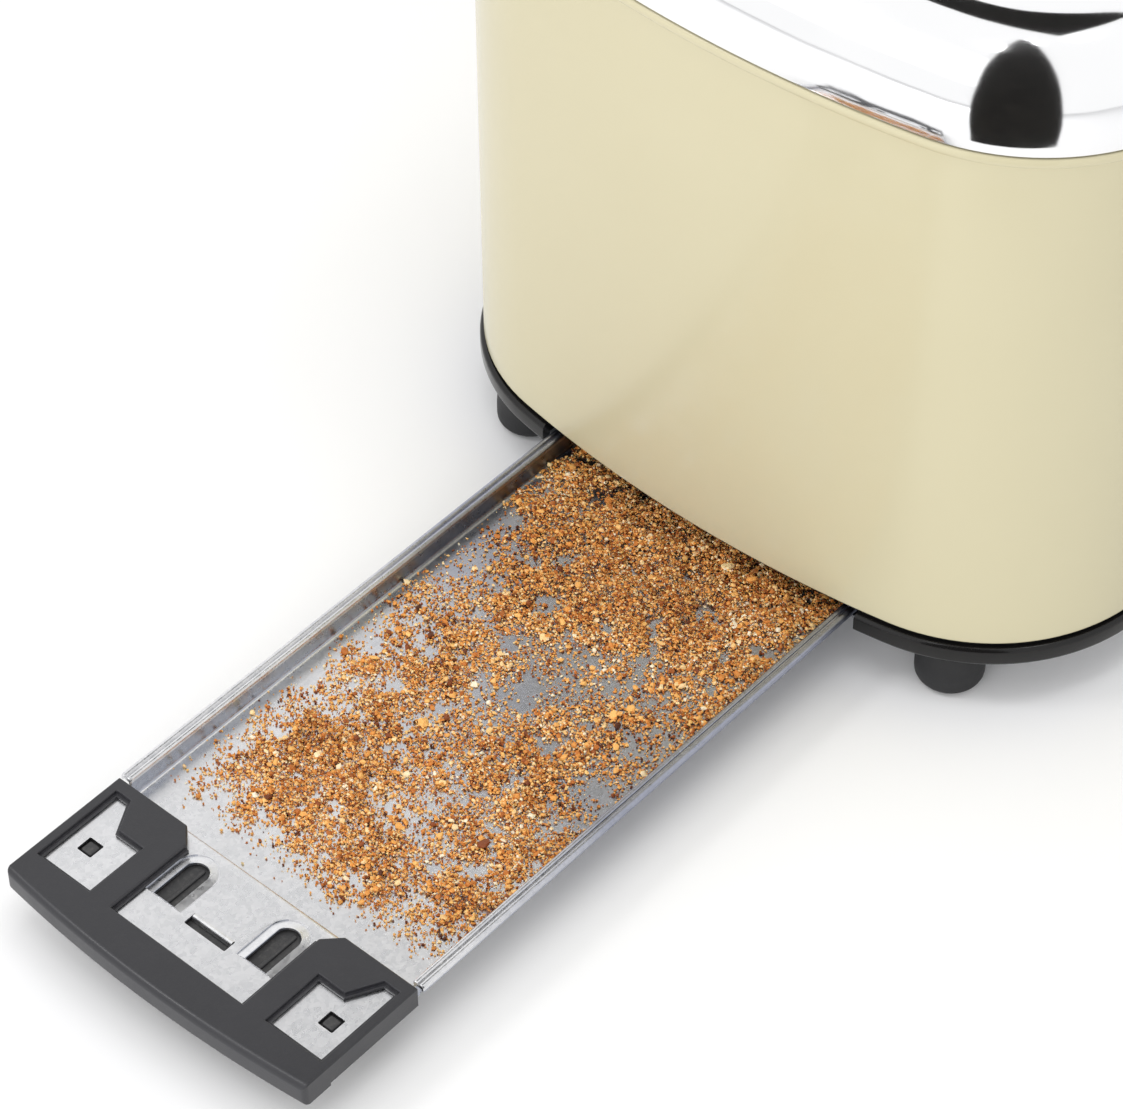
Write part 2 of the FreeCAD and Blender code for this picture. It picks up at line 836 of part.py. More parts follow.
def make_magnet_coil():
    """The bobbin on the pole nearer the middle."""
    low = shelf_bottom + shelf_thickness + 5.2
    high = carriage_top - carriage_thickness - armature_thickness - lever_travel - 3
    pole_y = magnet_y + magnet_width / 2 - pole_width / 2
    half_x = magnet_depth / 2 + gap
    half_y = pole_width / 2 + gap
    coil = rounded_z(magnet_x - half_x - 2.4, magnet_x + half_x + 2.4, pole_y - half_y - 2.4,
                     pole_y + half_y + 2.4, low, high, 2.0)
    return coil.cut(box(magnet_x - half_x, magnet_x + half_x, pole_y - half_y, pole_y + half_y, low, high))


def make_lever_knob():
    x0 = panel_front_x + lever_knob_gap
    x1 = x0 + lever_knob_length
    y = lever_knob_width / 2
    z = lever_knob_height / 2
    knob = box(x0, x1, -y, y, arm_z - z, arm_z + z)
    knob = knob.makeFillet(6.0, edges_along(knob, X_AXIS))
    front = [edge for edge in knob.Edges if edge.BoundBox.XMin > x1 - 1e-4]
    knob = knob.makeFillet(3.0, front)
    half = arm_width / 2 + running_clearance
    low = arm_bottom - running_clearance
    socket = box(x0 - 1, arm_end + running_clearance, -half, half, low, low + arm_height + 2 * running_clearance)
    return knob.cut(socket)


def lever_slot_zone(grow):
    half = arm_width / 2 + lever_slot_clear + grow
    low = arm_bottom - lever_travel - lever_slot_end_clear - grow
    high = arm_bottom + arm_height + lift_travel + lever_slot_end_clear + grow
    return rounded_x(half_length / 2, body_length, -half, half, low, high, half - 0.01)


def make_control_panel():
    face = plan_ring(panel_outer, panel_inner, panel_bottom, panel_top)
    face = face.common(panel_zone(0, half_length / 2, body_length))
    lip_outer = -sheet - gap
    lip = plan_ring(lip_outer, panel_inner, shell_bottom + 0.8, shell_top - 0.8)
    lip = lip.common(panel_zone(panel_lip - 2.1, half_length / 2, body_length))
    pieces = [face, lip]
    for y, z in board_screw_places():
        pieces.append(rod_x(standoff_radius, y, z, board_x + board_thickness, end_x(y, panel_inner) + 0.6))
    panel = join(pieces)
    panel = panel.cut(lever_slot_zone(0))
    panel = panel.cut(rod_x(shaft_radius + 0.6, 0, dial_z, half_length / 2, body_length))
    for z in button_z:
        panel = panel.cut(button_pill(z, button_clear, half_length / 2, body_length))
    for y, z in board_screw_places():
        panel = panel.cut(rod_x(screw_radius, y, z, board_x + board_thickness, board_x + 12))
    return panel


def make_lever_bezel():
    ring = plan_ring(panel_outer + bezel_proud, panel_outer, panel_bottom, panel_top)
    ring = ring.common(lever_slot_zone(bezel_width))
    return ring.cut(lever_slot_zone(0))


def button_pill(z, grow, x0, x1):
    y = button_width / 2 + grow
    half = button_height / 2 + grow
    return rounded_x(x0, x1, button_y - y, button_y + y, z - half, z + half, half - 0.5)


def make_button(z):
    front = end_x(button_y, panel_outer) + button_proud
    back = end_x(button_y + button_width / 2, panel_inner) - gap - 0.5
    cap = button_pill(z, 0, back - 0.2, front)
    face_edges = [edge for edge in cap.Edges if edge.BoundBox.XMin > front - 1e-4]
    cap = cap.makeFillet(1.0, face_edges)
    collar = button_pill(z, 1.6, back - 1.4, back)
    plunger = board_x + board_thickness + switch_height
    stem = rod_x(button_stem_radius, button_y, z, plunger + button_travel + gap, back)
    return join([cap, collar, stem])


def make_dial():
    low = panel_front_x + dial_gap
    high = low + dial_length
    knob = Part.makeCone(dial_radius, dial_radius - 1.0, dial_length, V(low, 0, dial_z), X_AXIS)
    front = [edge for edge in knob.Edges if edge.BoundBox.XMin > high - 1e-4]
    knob = knob.makeFillet(1.5, front)
    for step in range(24):
        angle = math.radians(step * 15)
        y = math.cos(angle) * (dial_radius + 0.3)
        z = dial_z + math.sin(angle) * (dial_radius + 0.3)
        knob = knob.cut(rod_x(0.9, y, z, low + 2, high + 1))
    bore = shaft_radius + running_clearance
    return knob.cut(rod_x(bore, 0, dial_z, low - 1, shaft_end() + running_clearance))


def shaft_end():
    return panel_front_x + dial_gap + dial_length * 0.7


def make_pot_shaft():
    start = board_x + board_thickness + 5 + gap
    return rod_x(shaft_radius, 0, dial_z, start, shaft_end())


def make_potentiometer():
    start = board_x + board_thickness
    case = rod_x(pot_radius, 0, dial_z, start, start + pot_length)
    neck = rod_x(pot_bush_radius, 0, dial_z, start, start + pot_length + pot_bush_length)
    bore = rod_x(shaft_radius + running_clearance, 0, dial_z, start + 5, panel_front_x)
    return case.fuse(neck).cut(bore).removeSplitter()


def make_circuit_board():
    x0 = board_x
    x1 = board_x + board_thickness
    main = box(x0, x1, board_inner_y, board_outer_y, board_bottom, board_top)
    foot = box(x0, x1, board_foot_y, board_inner_y, board_bottom, board_foot_top)
    board = join([main, foot])
    for y, z in board_screw_places():
        board = board.cut(rod_x(screw_radius + slip_clearance, y, z, x0, x1))
    return board


def make_tact_switches():
    x0 = board_x + board_thickness
    half = switch_size / 2
    switches = []
    for z in button_z:
        body = box(x0, x0 + switch_height - 0.8, button_y - half, button_y + half, z - half, z + half)
        plunger = rod_x(1.7, button_y, z, x0, x0 + switch_height)
        switches.append(body.fuse(plunger).removeSplitter())
    return Part.makeCompound(switches)


def make_switch_block():
    """The mains switch that the carriage closes, with its two contact leaves."""
    low = board_bottom + 8
    high = low + 14
    half = 9.5
    block = box(switch_block_x, board_x, switch_block_y - half, switch_block_y + half, low, high)
    leaves = []
    for side in (-1, 1):
        ys = sorted((switch_block_y + side * 1.5, switch_block_y + side * 5.5))
        leaves.append(box(switch_block_x + 2, switch_block_x + 2.5, ys[0], ys[1], high, high + 9))
    return join([block] + leaves)


def make_board_parts():
    relay = box(board_x - 12, board_x, 16, 32, 92, 112)
    capacitor = rod_x(5, 24, 78, board_x - 13, board_x)
    resistor = rod_x(2.2, 14, 84, board_x - 5, board_x)
    chip = box(board_x - 2, board_x, 14, 24, 116, 123)
    return Part.makeCompound([relay, capacitor, resistor, chip])


def make_terminal_block():
    x0 = terminal_x
    y0 = terminal_y - terminal_width / 2
    top = web_bottom + terminal_height
    block = box(x0 - terminal_length, x0, y0, y0 + terminal_width, web_bottom, top)
    for step in range(3):
        x = x0 - terminal_length * (step + 0.5) / 3
        block = block.cut(rod_z(1.8, x, terminal_y, top - 4, top))
    return block


def make_cord_bush():
    top = bottom_plate_low + cord_bush_height
    barrel = rod_z(cord_bush_radius, cord_bush_x, cord_bush_y, bottom_plate_low, top)
    low = bottom_plate_low - cord_flange_thickness
    collar = rod_z(cord_flange_radius, cord_bush_x, cord_bush_y, low, bottom_plate_low)
    collar = collar.makeFillet(1.0, edges_at_z(collar, low))
    return join([barrel, collar]).cut(rod_z(cord_bore_radius, cord_bush_x, cord_bush_y, low, top))


def wire_tube(points, bend):
    """A round wire along straight runs joined by tangent arcs."""
    edges = []
    start = points[0]
    for before, corner, after in zip(points, points[1:], points[2:]):
        into = (corner - before).normalize()
        out = (after - corner).normalize()
        turn = into.getAngle(out)
        back = bend * math.tan(turn / 2)
        first = corner - into * back
        last = corner + out * back
        inward = (out - into).normalize()
        middle = corner + inward * (bend / math.cos(turn / 2) - bend)
        edges.append(Part.LineSegment(start, first).toShape())
        edges.append(Part.Arc(first, middle, last).toShape())
        start = last
    edges.append(Part.LineSegment(start, points[-1]).toShape())
    section = Part.Wire([Part.Circle(points[0], points[1] - points[0], wire_radius).toShape()])
    return Part.Wire(edges).makePipeShell([section], True, True)


def make_mains_wires():
    """Two wires, one above the other, from the terminal block to the mains switch."""
    wires = []
    for number in (0, 1):
        z = web_bottom + wire_lift + number * wire_pitch
        end_y = switch_block_y + (number * 2 - 1) * wire_pitch
        turn_x = switch_block_x - 8 - number * wire_pitch
        points = [
            V(terminal_x, wire_y, z),
            V(turn_x, wire_y, z),
            V(turn_x, end_y, z + wire_rise),
            V(switch_block_x, end_y, z + wire_rise),
        ]
        wires.append(wire_tube(points, wire_bend))
    return Part.makeCompound(wires)


def handle_outline(z):
    """Plan outline of the handle: bowed front bar and square back, with the inner corners cut later."""
    half = handle_half
    drop = handle_bow_radius - math.sqrt(handle_bow_radius ** 2 - half ** 2)
    corner = handle_front + drop
    bow = Part.Arc(V(corner, -half, z), V(handle_front, 0, z), V(corner, half, z)).toShape()
    sides = [
        Part.LineSegment(V(corner, half, z), V(handle_back, half, z)).toShape(),
        Part.LineSegment(V(handle_back, half, z), V(handle_back, -half, z)).toShape(),
        Part.LineSegment(V(handle_back, -half, z), V(corner, -half, z)).toShape(),
    ]
    return Part.Wire(Part.__sortEdges__([bow] + sides))


def window_points(side):
    """The window in a leg, through which the tray's flange shows."""
    outer = handle_half - handle_wall
    inner = handle_leg_inner + leg_rib
    step = handle_back - window_step
    deep = handle_back - window_margin
    return [
        (bar_back, side * inner),
        (step, side * inner),
        (step, side * (handle_half - window_step_inset)),
        (deep, side * (handle_half - window_deep_inset)),
        (deep, side * outer),
        (bar_back, side * outer),
    ]


def peg_place(side):
    return (bar_back + peg_reach, side * (handle_half - peg_inset))


def tongue_place(side):
    return (bar_back + tongue_reach, side * tongue_y)


def make_tray_handle():
    full = Part.Face(handle_outline(handle_bottom)).extrude(V(0, 0, handle_top - handle_bottom))
    front = []
    for edge in edges_at_z(full, handle_top) + edges_at_z(full, handle_bottom):
        if edge.BoundBox.XMin < handle_front + 1:
            front.append(edge)
    full = full.makeFillet(1.6, front)
    middle = prism([
        (bar_back, -handle_leg_inner),
        (bar_back, handle_leg_inner),
        (handle_back - handle_chamfer, handle_leg_inner),
        (handle_back + 1, handle_leg_inner + handle_chamfer + 1),
        (handle_back + 1, -handle_leg_inner - handle_chamfer - 1),
        (handle_back - handle_chamfer, -handle_leg_inner),
    ], flange_top, handle_top + 1)
    handle = full.cut(middle)
    half = tray_inner + 0.4
    slot_low = flange_top - thin_sheet - slip_clearance
    slot = box(bar_back - flange_grip - gap, handle_back + 1, -half, half, slot_low, flange_top + slip_clearance)
    handle = handle.cut(slot)
    under = box(bar_back, handle_back + 1, -handle_half, handle_half, handle_bottom - 1, tray_floor)
    handle = handle.cut(under)
    for side in (-1, 1):
        handle = handle.cut(prism(window_points(side), flange_top - slip_clearance, handle_top + 1))
        x, y = peg_place(side)
        peg = box(x - peg_half, x + peg_half, y - peg_half, y + peg_half, slot_low - 1, flange_top + peg_clear)
        handle = handle.fuse(peg)
        x, y = tongue_place(side)
        tongue = rounded_z(x - 5.0, x + 3.0, y - 1.7, y + 1.7, slot_low - 1, flange_top + 0.5, 1.5)
        handle = handle.fuse(tongue)
    return handle.removeSplitter()


def make_tray_pan():
    low = tray_floor - thin_sheet
    inner = tray_inner
    slope_end = handle_back + tray_ramp_length
    flange_low = flange_top - thin_sheet
    pieces = [box(slope_end, tray_back, -inner, inner, low, tray_floor)]
    profile = [
        V(handle_back, -inner, flange_low),
        V(slope_end, -inner, low),
        V(slope_end, -inner, tray_floor),
        V(handle_back, -inner, flange_top),
    ]
    ramp = Part.Face(Part.makePolygon(profile + profile[:1])).extrude(V(0, 2 * inner, 0))
    pieces.append(ramp)
    pieces.append(box(bar_back - flange_grip, handle_back, -inner, inner, flange_low, flange_top))
    for side in (-1, 1):
        wall = sorted((side * (inner - thin_sheet), side * inner))
        pieces.append(box(tray_front, tray_back, wall[0], wall[1], low, tray_rim_top))
        rim = sorted((side * inner, side * tray_half))
        pieces.append(box(tray_front, tray_back, rim[0], rim[1], tray_rim_top - thin_sheet, tray_rim_top))
        lip = sorted((side * (tray_half - thin_sheet), side * tray_half))
        pieces.append(box(tray_front, tray_back, lip[0], lip[1], tray_rim_top - tray_rim_lip, tray_rim_top))
    pieces.append(box(tray_back - thin_sheet, tray_back, -inner, inner, low, tray_rim_top))
    pan = join(pieces)
    for side in (-1, 1):
        x, y = peg_place(side)
        hole = peg_half + peg_clear
        pan = pan.cut(box(x - hole, x + hole, y - hole, y + hole, flange_low, flange_top))
        x, y = tongue_place(side)
        window = rounded_z(x - 7.2, x + 4.6, y - 3.0, y + 3.0, flange_low, flange_top, 2.8)
        pan = pan.cut(window)
    slot_x = bar_back + lock_slot_reach
    half = lock_slot_half
    pan = pan.cut(box(slot_x - 1.7, slot_x + 1.7, -half, half, flange_low, flange_top))
    return pan


def build():
    """Every node by name."""
    nodes = {
        "shell": make_shell(),
        "chrome_top": make_chrome_top(),
        "slot_frame": make_slot_frame(),
        "base_ring": make_base_ring(),
        "bottom_plate": make_bottom_plate(),
        "front_plate": make_end_plate(1),
        "rear_plate": make_end_plate(-1),
        "top_deck": make_top_deck(),
        "heat_shield_left": make_heat_shield(1),
        "heat_shield_right": make_heat_shield(-1),
        "guide_rod": make_guide_rod(),
        "carriage_spring": make_spring(),
        "carriage_bracket": make_carriage_bracket(),
        "carriage_bush": make_carriage_bush(),
        "lifter_left": make_lifter(1),
        "lifter_right": make_lifter(-1),
        "armature": make_armature(),
        "magnet_core": make_magnet_core(),
        "magnet_coil": make_magnet_coil(),
        "lever_knob": make_lever_knob(),
        "control_panel": make_control_panel(),
        "lever_bezel": make_lever_bezel(),
        "browning_knob": make_dial(),
        "pot_shaft": make_pot_shaft(),
        "potentiometer": make_potentiometer(),
        "circuit_board": make_circuit_board(),
        "tact_switches": make_tact_switches(),
        "switch_block": make_switch_block(),
        "board_parts": make_board_parts(),
        "terminal_block": make_terminal_block(),
        "cord_bush": make_cord_bush(),
        "mains_wires": make_mains_wires(),
        "tray_handle": make_tray_handle(),
        "tray_pan": make_tray_pan(),
    }
    for number, (x, y) in enumerate(foot_places(), 1):
        nodes["foot_" + str(number)] = make_foot(x, y)
    for name, y, toward in heater_lines():
        nodes["mica_" + name] = make_mica(y)
        nodes["winding_" + name] = make_winding(y, toward)
    for name, y, inward in guard_centre_lines():
        nodes[name] = make_guard(y)
    for name, z in zip(button_names, button_z):
        nodes[name] = make_button(z)
    low = bottom_plate_low
    base = [screw(x, y, low, Z_AXIS, 8.0) for x, y in base_screw_places()]
    nodes["base_screws"] = Part.makeCompound(base)
    chassis = [screw(x, y, low, Z_AXIS, 5.0) for x, y in chassis_screw_places()]
    nodes["chassis_screws"] = Part.makeCompound(chassis)
    deck = [screw(x, y, deck_bottom, Z_AXIS, 7.0) for x, y in deck_screw_places()]
    nodes["deck_screws"] = Part.makeCompound(deck)
    board = [screw(board_x, y, z, X_AXIS, 8.0) for y, z in board_screw_places()]
    nodes["board_screws"] = Part.makeCompound(board)
    return nodes


os.makedirs("parts", exist_ok=True)
for node_name, shape in build().items():
    shape.exportStep("parts/" + node_name + ".step")
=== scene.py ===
import bpy
import bmesh
import math
import numpy as np
from mathutils import Matrix, Vector, noise


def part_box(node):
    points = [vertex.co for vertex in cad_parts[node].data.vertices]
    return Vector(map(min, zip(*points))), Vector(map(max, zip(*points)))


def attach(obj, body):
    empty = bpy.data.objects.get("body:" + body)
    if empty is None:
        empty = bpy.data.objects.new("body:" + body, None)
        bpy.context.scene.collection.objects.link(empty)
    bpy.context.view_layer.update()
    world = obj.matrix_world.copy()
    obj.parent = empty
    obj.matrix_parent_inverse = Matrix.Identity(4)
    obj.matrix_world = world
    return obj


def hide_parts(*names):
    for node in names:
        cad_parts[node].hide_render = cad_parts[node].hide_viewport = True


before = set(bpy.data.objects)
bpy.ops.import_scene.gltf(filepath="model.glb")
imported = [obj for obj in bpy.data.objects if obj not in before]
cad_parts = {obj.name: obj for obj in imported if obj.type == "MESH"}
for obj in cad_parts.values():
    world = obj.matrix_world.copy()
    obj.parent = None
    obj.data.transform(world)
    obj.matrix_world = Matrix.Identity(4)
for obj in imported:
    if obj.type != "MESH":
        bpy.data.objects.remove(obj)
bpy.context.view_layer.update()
mm = 0.001  # everything here is in metres; mm turns millimetres into them
print("frame loaded:", len(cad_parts), "CAD nodes")


# Shader helpers: a node with its settings and inputs, and a group with named sockets

def addNode(tree, kind, inputs=None, **settings):
    node = tree.nodes.new(kind)
    for name, value in settings.items():
        setattr(node, name, value)
    for name, value in (inputs or {}).items():
        feed(tree, node.inputs[name], value)
    return node


def feed(tree, socket, value):
    if isinstance(value, bpy.types.NodeSocket):
        tree.links.new(value, socket)
    else:
        socket.default_value = value


def startGroup(name, inputs, outputs):
    tree = bpy.data.node_groups.new(name, "ShaderNodeTree")
    for label, value in inputs:
        kind = "NodeSocketColor" if isinstance(value, tuple) else "NodeSocketFloat"
        socket = tree.interface.new_socket(label, in_out="INPUT", socket_type=kind)
        socket.default_value = value
    for label, kind in outputs:
        tree.interface.new_socket(label, in_out="OUTPUT", socket_type=kind)
    entry = tree.nodes.new("NodeGroupInput")
    leave = tree.nodes.new("NodeGroupOutput")
    return tree, entry.outputs, leave.inputs, objectPlace(tree)


def mathNode(tree, operation, first, second=0.0, clamp=False):
    node = addNode(tree, "ShaderNodeMath", operation=operation, use_clamp=clamp)
    feed(tree, node.inputs[0], first)
    feed(tree, node.inputs[1], second)
    return node.outputs[0]


def rangeNode(tree, value, fromLow, fromHigh, toLow, toHigh):
    node = addNode(tree, "ShaderNodeMapRange", {"Value": value, "From Min": fromLow, "From Max": fromHigh,
                                                "To Min": toLow, "To Max": toHigh})
    return node.outputs["Result"]


def mixColours(tree, factor, first, second, blend="MIX"):
    node = addNode(tree, "ShaderNodeMix", data_type="RGBA", blend_type=blend)
    feed(tree, node.inputs[0], factor)
    feed(tree, node.inputs[6], first)
    feed(tree, node.inputs[7], second)
    return node.outputs[2]


def noiseNode(tree, place, scale, detail=3.0, roughness=0.5):
    node = addNode(tree, "ShaderNodeTexNoise", {"Vector": place, "Scale": scale, "Detail": detail,
                                                "Roughness": roughness})
    return node.outputs["Fac"]


def vectorNode(tree, operation, first, second=None, scale=None):
    node = addNode(tree, "ShaderNodeVectorMath", operation=operation)
    for index, value in ((0, first), (1, second), (3, scale)):
        if value is not None:
            feed(tree, node.inputs[index], value)
    return node.outputs[1 if operation == "DOT_PRODUCT" else 0]


def objectPlace(tree):
    return addNode(tree, "ShaderNodeTexCoord").outputs["Object"]


def surfaceNormal(tree):
    return addNode(tree, "ShaderNodeNewGeometry").outputs["Normal"]


# Effects that several finishes share

def makeFineGrain():  # the tiny pebbling of moulded plastic
    tree, given, out, place = startGroup("fineGrain", [("Scale", 1800.0)],
                                         [("Height", "NodeSocketFloat"), ("Mottle", "NodeSocketFloat")])
    cells = addNode(tree, "ShaderNodeTexVoronoi", {"Vector": place, "Scale": given["Scale"]},
                    feature="SMOOTH_F1")
    fine = noiseNode(tree, place, given["Scale"], 2.0)
    feed(tree, out["Height"], mathNode(tree, "ADD", cells.outputs["Distance"], fine))
    feed(tree, out["Mottle"], noiseNode(tree, place, 90.0, 4.0))
    return tree


def makeBrushedLines():  # drawn or rolled metal, streaked along the body's length
    tree, given, out, place = startGroup("brushedLines", [("Scale", 1500.0), ("Stretch", 0.03)],
                                         [("Height", "NodeSocketFloat"), ("Streak", "NodeSocketFloat")])
    squeeze = addNode(tree, "ShaderNodeCombineXYZ", {"X": given["Stretch"], "Y": 1.0, "Z": 1.0})
    long = vectorNode(tree, "MULTIPLY", place, squeeze.outputs[0])
    fine = noiseNode(tree, long, given["Scale"], 2.0)
    coarse = noiseNode(tree, long, mathNode(tree, "MULTIPLY", given["Scale"], 0.17), 2.0)
    feed(tree, out["Height"], fine)
    feed(tree, out["Streak"], mathNode(tree, "MULTIPLY", fine, mathNode(tree, "ADD", coarse, 0.5)))
    return tree


def makeSpangle():  # the crystal pattern of hot dipped zinc
    tree, given, out, place = startGroup("spangle", [("Scale", 260.0), ("Tilt", 0.1)],
                                         [("Shade", "NodeSocketFloat"), ("Normal", "NodeSocketVector"),
                                          ("Height", "NodeSocketFloat")])
    warp = addNode(tree, "ShaderNodeTexNoise", {"Vector": place, "Scale": 420.0, "Detail": 3.0})
    shift = vectorNode(tree, "SCALE", warp.outputs["Color"], scale=0.0022)
    bent = vectorNode(tree, "ADD", place, shift)
    cells = addNode(tree, "ShaderNodeTexVoronoi", {"Vector": bent, "Scale": given["Scale"]})
    cloud = noiseNode(tree, place, 160.0, 5.0, 0.62)
    grey = addNode(tree, "ShaderNodeSeparateColor", {"Color": cells.outputs["Color"]})
    feed(tree, out["Shade"], mathNode(tree, "ADD", mathNode(tree, "MULTIPLY", grey.outputs[0], 0.42),
                                      mathNode(tree, "MULTIPLY", cloud, 0.58)))
    lean = vectorNode(tree, "SUBTRACT", cells.outputs["Color"], (0.5, 0.5, 0.5))
    small = vectorNode(tree, "SCALE", lean, scale=given["Tilt"])
    total = vectorNode(tree, "ADD", surfaceNormal(tree), small)
    feed(tree, out["Normal"], vectorNode(tree, "NORMALIZE", total))
    feed(tree, out["Height"], cloud)
    return tree


def makeEdgeWear():  # a mask along convex edges, broken up by noise
    tree, given, out, place = startGroup("edgeWear", [("Radius", 0.0006), ("Amount", 0.5)],
                                         [("Mask", "NodeSocketFloat")])
    rounded = addNode(tree, "ShaderNodeBevel", {"Radius": given["Radius"]}, samples=4)
    bend = mathNode(tree, "SUBTRACT", 1.0, vectorNode(tree, "DOT_PRODUCT", rounded.outputs[0],
                                                      surfaceNormal(tree)))
    sharp = rangeNode(tree, bend, 0.03, 0.30, 0.0, 1.0)
    broken = rangeNode(tree, noiseNode(tree, place, 700.0, 4.0), 0.35, 0.65, 0.2, 1.0)
    mask = mathNode(tree, "MULTIPLY", sharp, broken)
    feed(tree, out["Mask"], mathNode(tree, "MULTIPLY", mask, given["Amount"], True))
    return tree


def makeDustFilm():  # fine dust that settles on faces that look up
    tree, given, out, place = startGroup("dustFilm", [("Amount", 0.2)], [("Mask", "NodeSocketFloat")])
    axes = addNode(tree, "ShaderNodeSeparateXYZ", {"Vector": surfaceNormal(tree)})
    up = rangeNode(tree, axes.outputs["Z"], 0.2, 1.0, 0.0, 1.0)
    specks = rangeNode(tree, noiseNode(tree, place, 900.0, 5.0, 0.7), 0.48, 0.72, 0.15, 1.0)
    mask = mathNode(tree, "MULTIPLY", up, specks)
    feed(tree, out["Mask"], mathNode(tree, "MULTIPLY", mask, given["Amount"], True))
    return tree


def makeHandling():  # the soft unevenness that wiping leaves on a glossy face
    tree, given, out, place = startGroup("handling", [("Low", 0.04), ("High", 0.10)],
                                         [("Roughness", "NodeSocketFloat")])
    cloud = noiseNode(tree, place, 35.0, 4.0, 0.6)
    node = addNode(tree, "ShaderNodeMapRange", {"Value": cloud, "From Min": 0.35, "From Max": 0.68,
                                                "To Min": given["Low"], "To Max": given["High"]})
    feed(tree, out["Roughness"], node.outputs["Result"])
    return tree


fineGrain = makeFineGrain()
brushedLines = makeBrushedLines()
spangle = makeSpangle()
edgeWear = makeEdgeWear()
dustFilm = makeDustFilm()
handling = makeHandling()


def startMaterial(name, **settings):
    material = bpy.data.materials.new(name)
    material.use_nodes = True
    tree = material.node_tree
    shader = tree.nodes["Principled BSDF"]
    for label, value in settings.items():
        shader.inputs[label.replace("_", " ")].default_value = value
    return material, tree, shader


def useGroup(tree, group, **values):
    node = addNode(tree, "ShaderNodeGroup", node_tree=group)
    for label, value in values.items():
        feed(tree, node.inputs[label], value)
    return node.outputs


def addBump(tree, shader, height, distance, strength=1.0, normal=None):
    bump = addNode(tree, "ShaderNodeBump", {"Height": height, "Distance": distance, "Strength": strength})
    if normal is not None:
        feed(tree, bump.inputs["Normal"], normal)
    feed(tree, shader.inputs["Normal"], bump.outputs["Normal"])


def dress(tree, shader, tone, roughness=None):  # the last colour and roughness of a finish
    feed(tree, shader.inputs["Base Color"], tone)
    if roughness is not None:
        feed(tree, shader.inputs["Roughness"], roughness)


def makeMoulded(name, colour, worn, low, high, grainScale=1800.0, depth=0.00002, wear=0.5, dust=0.1):
    material, tree, shader = startMaterial(name)
    grain = useGroup(tree, fineGrain, Scale=grainScale)
    edge = useGroup(tree, edgeWear, Amount=wear)
    film = useGroup(tree, dustFilm, Amount=dust)
    tone = mixColours(tree, grain["Mottle"], [c * 0.85 for c in colour] + [1],
                      [c * 1.15 for c in colour] + [1])
    tone = mixColours(tree, edge["Mask"], tone, list(worn) + [1])
    tone = mixColours(tree, film["Mask"], tone, (0.42, 0.40, 0.37, 1))
    dress(tree, shader, tone, rangeNode(tree, grain["Mottle"], 0.3, 0.7, low, high))
    addBump(tree, shader, grain["Height"], depth)
    return material


def makeMetal(name, colour, low, high, scale=1500.0, stretch=0.03, depth=0.000008, wear=0.3, dust=0.05,
              tint=None):
    material, tree, shader = startMaterial(name, Metallic=1.0)
    lines = useGroup(tree, brushedLines, Scale=scale, Stretch=stretch)
    edge = useGroup(tree, edgeWear, Amount=wear)
    film = useGroup(tree, dustFilm, Amount=dust)
    dark = list(tint or [c * 0.78 for c in colour]) + [1]
    tone = mixColours(tree, lines["Streak"], dark, list(colour) + [1])
    tone = mixColours(tree, edge["Mask"], tone, [min(1.0, c * 1.2) for c in colour] + [1])
    tone = mixColours(tree, film["Mask"], tone, (0.5, 0.48, 0.44, 1))
    dress(tree, shader, tone, rangeNode(tree, lines["Streak"], 0.2, 0.8, low, high))
    addBump(tree, shader, lines["Height"], depth)
    return material


def makeZinc(name, bright, dark, low, high, scale=260.0, tilt=0.10, paintedShade=None, depth=0.00003):
    material, tree, shader = startMaterial(name, Metallic=1.0)
    flake = useGroup(tree, spangle, Scale=scale, Tilt=tilt)
    lines = useGroup(tree, brushedLines, Scale=1100.0, Stretch=0.05)
    edge = useGroup(tree, edgeWear, Amount=0.5)
    tone = mixColours(tree, rangeNode(tree, flake["Shade"], 0.3, 0.68, 0.0, 1.0), list(dark) + [1],
                      list(bright) + [1])
    if paintedShade is not None:  # painted shade: a darker, bluer multiply on the end that runs in under the body, and on the inner walls
        place = objectPlace(tree)
        axes = addNode(tree, "ShaderNodeSeparateXYZ", {"Vector": place}).outputs
        cloud = noiseNode(tree, place, 45.0, 3.0)
        slant = mathNode(tree, "ADD", axes["X"], mathNode(tree, "MULTIPLY", axes["Y"], -0.55))
        slant = mathNode(tree, "ADD", slant, mathNode(tree, "MULTIPLY", cloud, 0.05))
        bodyShade = rangeNode(tree, slant, paintedShade["from"], paintedShade["to"], 0.0, 1.0)
        tone = mixColours(tree, bodyShade, tone, list(paintedShade["tint"]) + [1], "MULTIPLY")
        # painted shade on the steep inner walls below the rim
        facing = addNode(tree, "ShaderNodeSeparateXYZ", {"Vector": surfaceNormal(tree)})
        steep = mathNode(tree, "GREATER_THAN", mathNode(tree, "ABSOLUTE", facing.outputs["Y"]), 0.6)
        below = mathNode(tree, "LESS_THAN", axes["Z"], paintedShade["wallTop"])
        wall = mathNode(tree, "MULTIPLY", steep, below)
        tone = mixColours(tree, wall, tone, list(paintedShade["wall"]) + [1], "MULTIPLY")
    tone = mixColours(tree, edge["Mask"], tone, (0.93, 0.93, 0.94, 1))
    feed(tree, shader.inputs["Base Color"], tone)
    rough = mathNode(tree, "ADD", mathNode(tree, "MULTIPLY", flake["Shade"], 0.6),
                     mathNode(tree, "MULTIPLY", lines["Streak"], 0.4))
    feed(tree, shader.inputs["Roughness"], rangeNode(tree, rough, 0.25, 0.7, low, high))
    addBump(tree, shader, flake["Height"], depth, 1.0, flake["Normal"])
    return material


enamelLook = {"colour": (0.605, 0.557, 0.380), "shade": (0.580, 0.531, 0.354), "peelScale": 420.0,
              "peelDepth": 0.000012, "roughness": 0.22}


